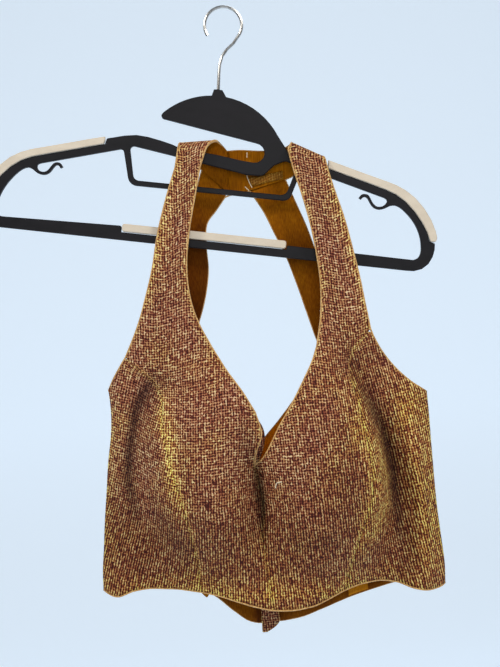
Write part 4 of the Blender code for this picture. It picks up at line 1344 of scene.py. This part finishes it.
def patch_place(t, s):
    """The light patch inside the back hem."""
    x = PATCH_LEFT + PATCH_WIDTH * s
    z = back_hem(x) + PATCH_BOTTOM + PATCH_HEIGHT * t
    return (x, shown_back(x, z) - INNER_FACE - PATCH_GAP, z)


def tab_place(t, s):
    """The strip of outer cloth at the nape, slightly waved."""
    x = TAB_LEFT + TAB_WIDTH * s + TAB_SLANT * t * (1 - s)
    y = NAPE_DEPTH - INNER_FACE - TAB_GAP - TAB_WAVE * math.sin(s * TAB_TURNS)
    return (x, y, TAB_TOP + TAB_RISE * s - TAB_HEIGHT * t)


def small_pieces(looks):
    """The tie's end, the hem's patch, the nape's tab, the hem's tip and the neck's curl."""
    made = {}
    for name, grid, nodes, look, slot in (
        ("tie_end", strip(TIE_END, 8, tie_depth), ["back_tie_end"], "woven", "outer_cloth"),
        ("hem_tape", lattice(6, 8, patch_place), ["hem_patch"], "tape", "light_patch"),
        ("nape_tab", lattice(4, 12, tab_place), ["nape_seam_tab"], "tab", "outer_cloth"),
        ("hem_tip", strip(HEM_TIP, 4, lambda x, z, s: HEM_TIP_DEPTH), [], "mustard", "lining"),
        ("neck_curl", strip(NECK_CURL, 6, curl_depth), [], "woven", "outer_cloth"),
    ):
        rows = np.array(grid)
        flat = np.ones(rows.shape[:2])
        attributes = {"rim": rim_of(rows, SMALL_RIM), "tone": flat}
        # The neck's curl gets painted shade.
        if name == "neck_curl":
            attributes["dark"] = flat * CURL_PAINTED_SHADE
        places = cloth_places(rows, SMALL_GRAIN)
        made[name] = grid_piece(
            name, rows, looks[look], places, nodes, SMALL_WALL, attributes,
        )
    return made


BESIDE_SEAM = -3  # column of the stitches, and their share towards the seam's side
BESIDE_SHARE = 0.45
NAPE_STITCHES = (25, 30)  # rows of the turn with stitches


def stitching(fronts, look):
    """Rows of stitches beside the princess seams and the nape seams."""
    foot = fronts["left"]["foot"]
    for side, half in fronts.items():
        rows, normals = half["rows"], half["normals"][:, BESIDE_SEAM]
        inner, outer = rows[:, BESIDE_SEAM], rows[:, BESIDE_SEAM + 1]
        line = inner * (1 - BESIDE_SHARE) + outer * BESIDE_SHARE
        seam = slice(1, foot - 1)
        turn = slice(*(half["turn_row"] + row for row in NAPE_STITCHES))
        stitch_row(f"seam_stitches_{side}", line[seam], normals[seam], SHOWN_CLOTH / 2, look)
        stitch_row(f"nape_stitches_{side}", inner[turn], normals[turn], SHOWN_CLOTH / 2, look)


THREAD_SIDES = 6
# Loose thread on the right cup, as x and height, and the pale tacks on the nape's lining.
SCRAP = [(22.7, -458.4), (23.1, -455.2), (24.4, -453.0), (27.3, -452.3), (28.7, -451.9)]
SCRAP_RADIUS = 0.6
TACKS = [
    [(15.6, -139.5), (15.3, -144.4)],
    [(13.9, -159.9), (15.0, -165.5), (18.4, -173.9)],
    [(11.7, -172.5), (15.3, -176.6)],
]
TACK_DEPTH = 5.6
TACK_RADIUS = 0.45


def thread(name, path, radius, material):
    """A thin round thread that lies on the cloth, along a path seen from the front."""
    path = between_rungs(path, STRIP_STEPS)
    along = np.gradient(path, axis=0)
    along /= np.linalg.norm(along, axis=1, keepdims=True)
    ahead = np.array((0.0, -1.0, 0.0))
    side = np.cross(along, ahead)
    rows = np.stack(round_section(path, side, ahead, THREAD_SIDES, radius), axis=1)
    flat = (rows[..., 0], rows[..., 2])
    grid_piece(name, rows, material, flat, closed=(False, True))


def loose_threads(look):
    path = [(x, -shown_front(x, z) - CLOTH / 2 - SCRAP_RADIUS, z) for x, z in SCRAP]
    thread("thread_scrap", path, SCRAP_RADIUS, look)
    for number, line in enumerate(TACKS):
        thread(f"nape_tack_{number}", [(x, TACK_DEPTH, z) for x, z in line], TACK_RADIUS, look)


LIGHT_AIM = Vector((0.0, 0.0, -0.36))
Light = namedtuple("Light", "name place size power colour")
LIGHTS = table(
    Light,
    "key_right", (1.5, -1.2, 1.35), 0.6, 31.0, (1.0, 0.95, 0.86),
    "key_left", (-1.7, -1.1, 1.1), 0.6, 27.0, (1.0, 0.96, 0.88),
    "front", (0.1, -2.2, 0.3), 1.2, 10.0, (1.0, 0.97, 0.92),
    "behind", (0.6, 1.5, 0.9), 1.2, 9.0, (0.95, 0.97, 1.0),
)
WORLD_COLOUR = (0.88, 0.94, 1.0, 1)
WORLD_STRENGTH = 0.22
SENSOR_WIDTH = 36.0
NEAREST = 0.05


def camera_and_light():
    scene = bpy.context.scene
    camera = bpy.data.objects.new("camera", bpy.data.cameras.new("camera"))
    scene.collection.objects.link(camera)
    camera.data.lens = CAMERA_LENS
    camera.data.sensor_width = SENSOR_WIDTH
    camera.data.clip_start = NEAREST
    c, s = math.cos(CAMERA_ROLL), math.sin(CAMERA_ROLL)
    camera.matrix_world = Matrix((
        (c, s, 0, CAMERA_AIM[0]),
        (0, 0, -1, -CAMERA_DISTANCE),
        (-s, c, 0, CAMERA_AIM[1]),
        (0, 0, 0, 1),
    ))
    scene.camera = camera
    scene.view_settings.view_transform = "Standard"
    scene.view_settings.look = "None"

    world = bpy.data.worlds.new("world")
    scene.world = world
    world.use_nodes = True
    background = world.node_tree.nodes["Background"]
    feed(background, {"Color": WORLD_COLOUR, "Strength": WORLD_STRENGTH})
    for light in LIGHTS:
        lamp = bpy.data.lights.new(light.name, "AREA")
        lamp.shape = "DISK"
        lamp.size = light.size
        lamp.energy = light.power
        lamp.color = light.colour
        holder = bpy.data.objects.new(light.name, lamp)
        scene.collection.objects.link(holder)
        holder.location = light.place
        holder.rotation_mode = "QUATERNION"
        holder.rotation_quaternion = (LIGHT_AIM - Vector(light.place)).to_track_quat("-Z", "Y")


# The room's section as depth and height: its floor's front, the bend and the top of its back.
ROOM_FRONT = (-3.4, -1.45)
ROOM_TOP = (3.4, 2.4)
BEND_MIDDLE = (2.6, -0.65)
BEND_RADIUS = 0.8
BEND_STEPS = 12
ROOM_HALF = 4.0


def studio_room():
    """A pale floor that curves up into a pale backdrop, far behind the blouse."""
    section = [ROOM_FRONT]
    for k in range(BEND_STEPS + 1):
        angle = math.pi / 2 * k / BEND_STEPS
        y = BEND_MIDDLE[0] + BEND_RADIUS * math.sin(angle)
        section.append((y, BEND_MIDDLE[1] - BEND_RADIUS * math.cos(angle)))
    section.append(ROOM_TOP)
    points = [(x, y, z) for y, z in section for x in (-ROOM_HALF, ROOM_HALF)]
    faces = [(2 * i, 2 * i + 1, 2 * i + 3, 2 * i + 2) for i in range(len(section) - 1)]
    material, _, shader = made_material("pale_room")
    feed(shader, {
        "Base Color": (0.58, 0.65, 0.73, 1), "Roughness": 0.9,
        "Emission Color": (0.69, 0.79, 0.89, 1), "Emission Strength": 0.55,
    })
    linked("room", points, faces, material)


def main():
    camera_and_light()
    studio_room()
    looks = {
        "woven": woven("woven_cloth", WEAVE_COLOURS), "tab": woven("tab_cloth", TAB_COLOURS),
        "mustard": mustard("mustard_lining", LINING_COLOURS),
        "tape": mustard("mustard_tape", TAPE_COLOURS), "trim": tan_trim(),
    }
    fronts = {
        "left": front_half("left", FRONT_LEFT, UNDERARM_LEFT, STRAP_LEFT, TURN_LEFT, looks),
        "right": front_half("right", FRONT_RIGHT, UNDERARM_RIGHT, STRAP_RIGHT, TURN_RIGHT, looks),
    }
    backs = {
        "left": back_half("left", BACK_LEFT, looks), "right": back_half("right", BACK_RIGHT, looks),
    }
    trims = bindings(fronts, backs, looks["trim"])
    stitching(fronts, looks["trim"])
    small = small_pieces(looks)
    loose_threads(plain_thread("pale_thread", (0.80, 0.66, 0.46)))
    carried = {
        "front_panel_left": ["neck_edge", "front_hem_edge", "hem_tip", "neck_curl"],
        "strap_inside_right": ["nape_tab"], "back_panel_left": ["keyhole_edge"],
        "back_inside_left": ["tie_end"], "back_inside_right": ["hem_tape"],
    }
    for side, front in fronts.items():
        back = backs[side]
        carried.setdefault(f"front_panel_{side}", []).append(f"armhole_edge_{side}")
        carried.setdefault(f"back_panel_{side}", []).append(f"back_hem_edge_{side}")
        panel = front["panel"][0].name
        for (piece, rows), rests_on in (
            (front["panel"], "hanger_frame"), (front["flank"], panel), (front["lining"], panel),
            (back["panel"], panel), (back["lining"], back["panel"][0].name),
        ):
            declare(rows)

    black = plastic("black_plastic", (0.004, 0.004, 0.006), (0.010, 0.009, 0.012), 0.45, 0.25, 0.2)
    beige = plastic("beige_grip", (0.60, 0.51, 0.40), (0.72, 0.63, 0.51), 0.35, 0.3, 0.5)
    for node, material in (
        ("hanger_frame", black), ("grip_left", beige), ("grip_right", beige),
        ("grip_lower", beige), ("hook", wire()),
    ):
        bpy.data.objects[node].material_slots[0].material = material


main()
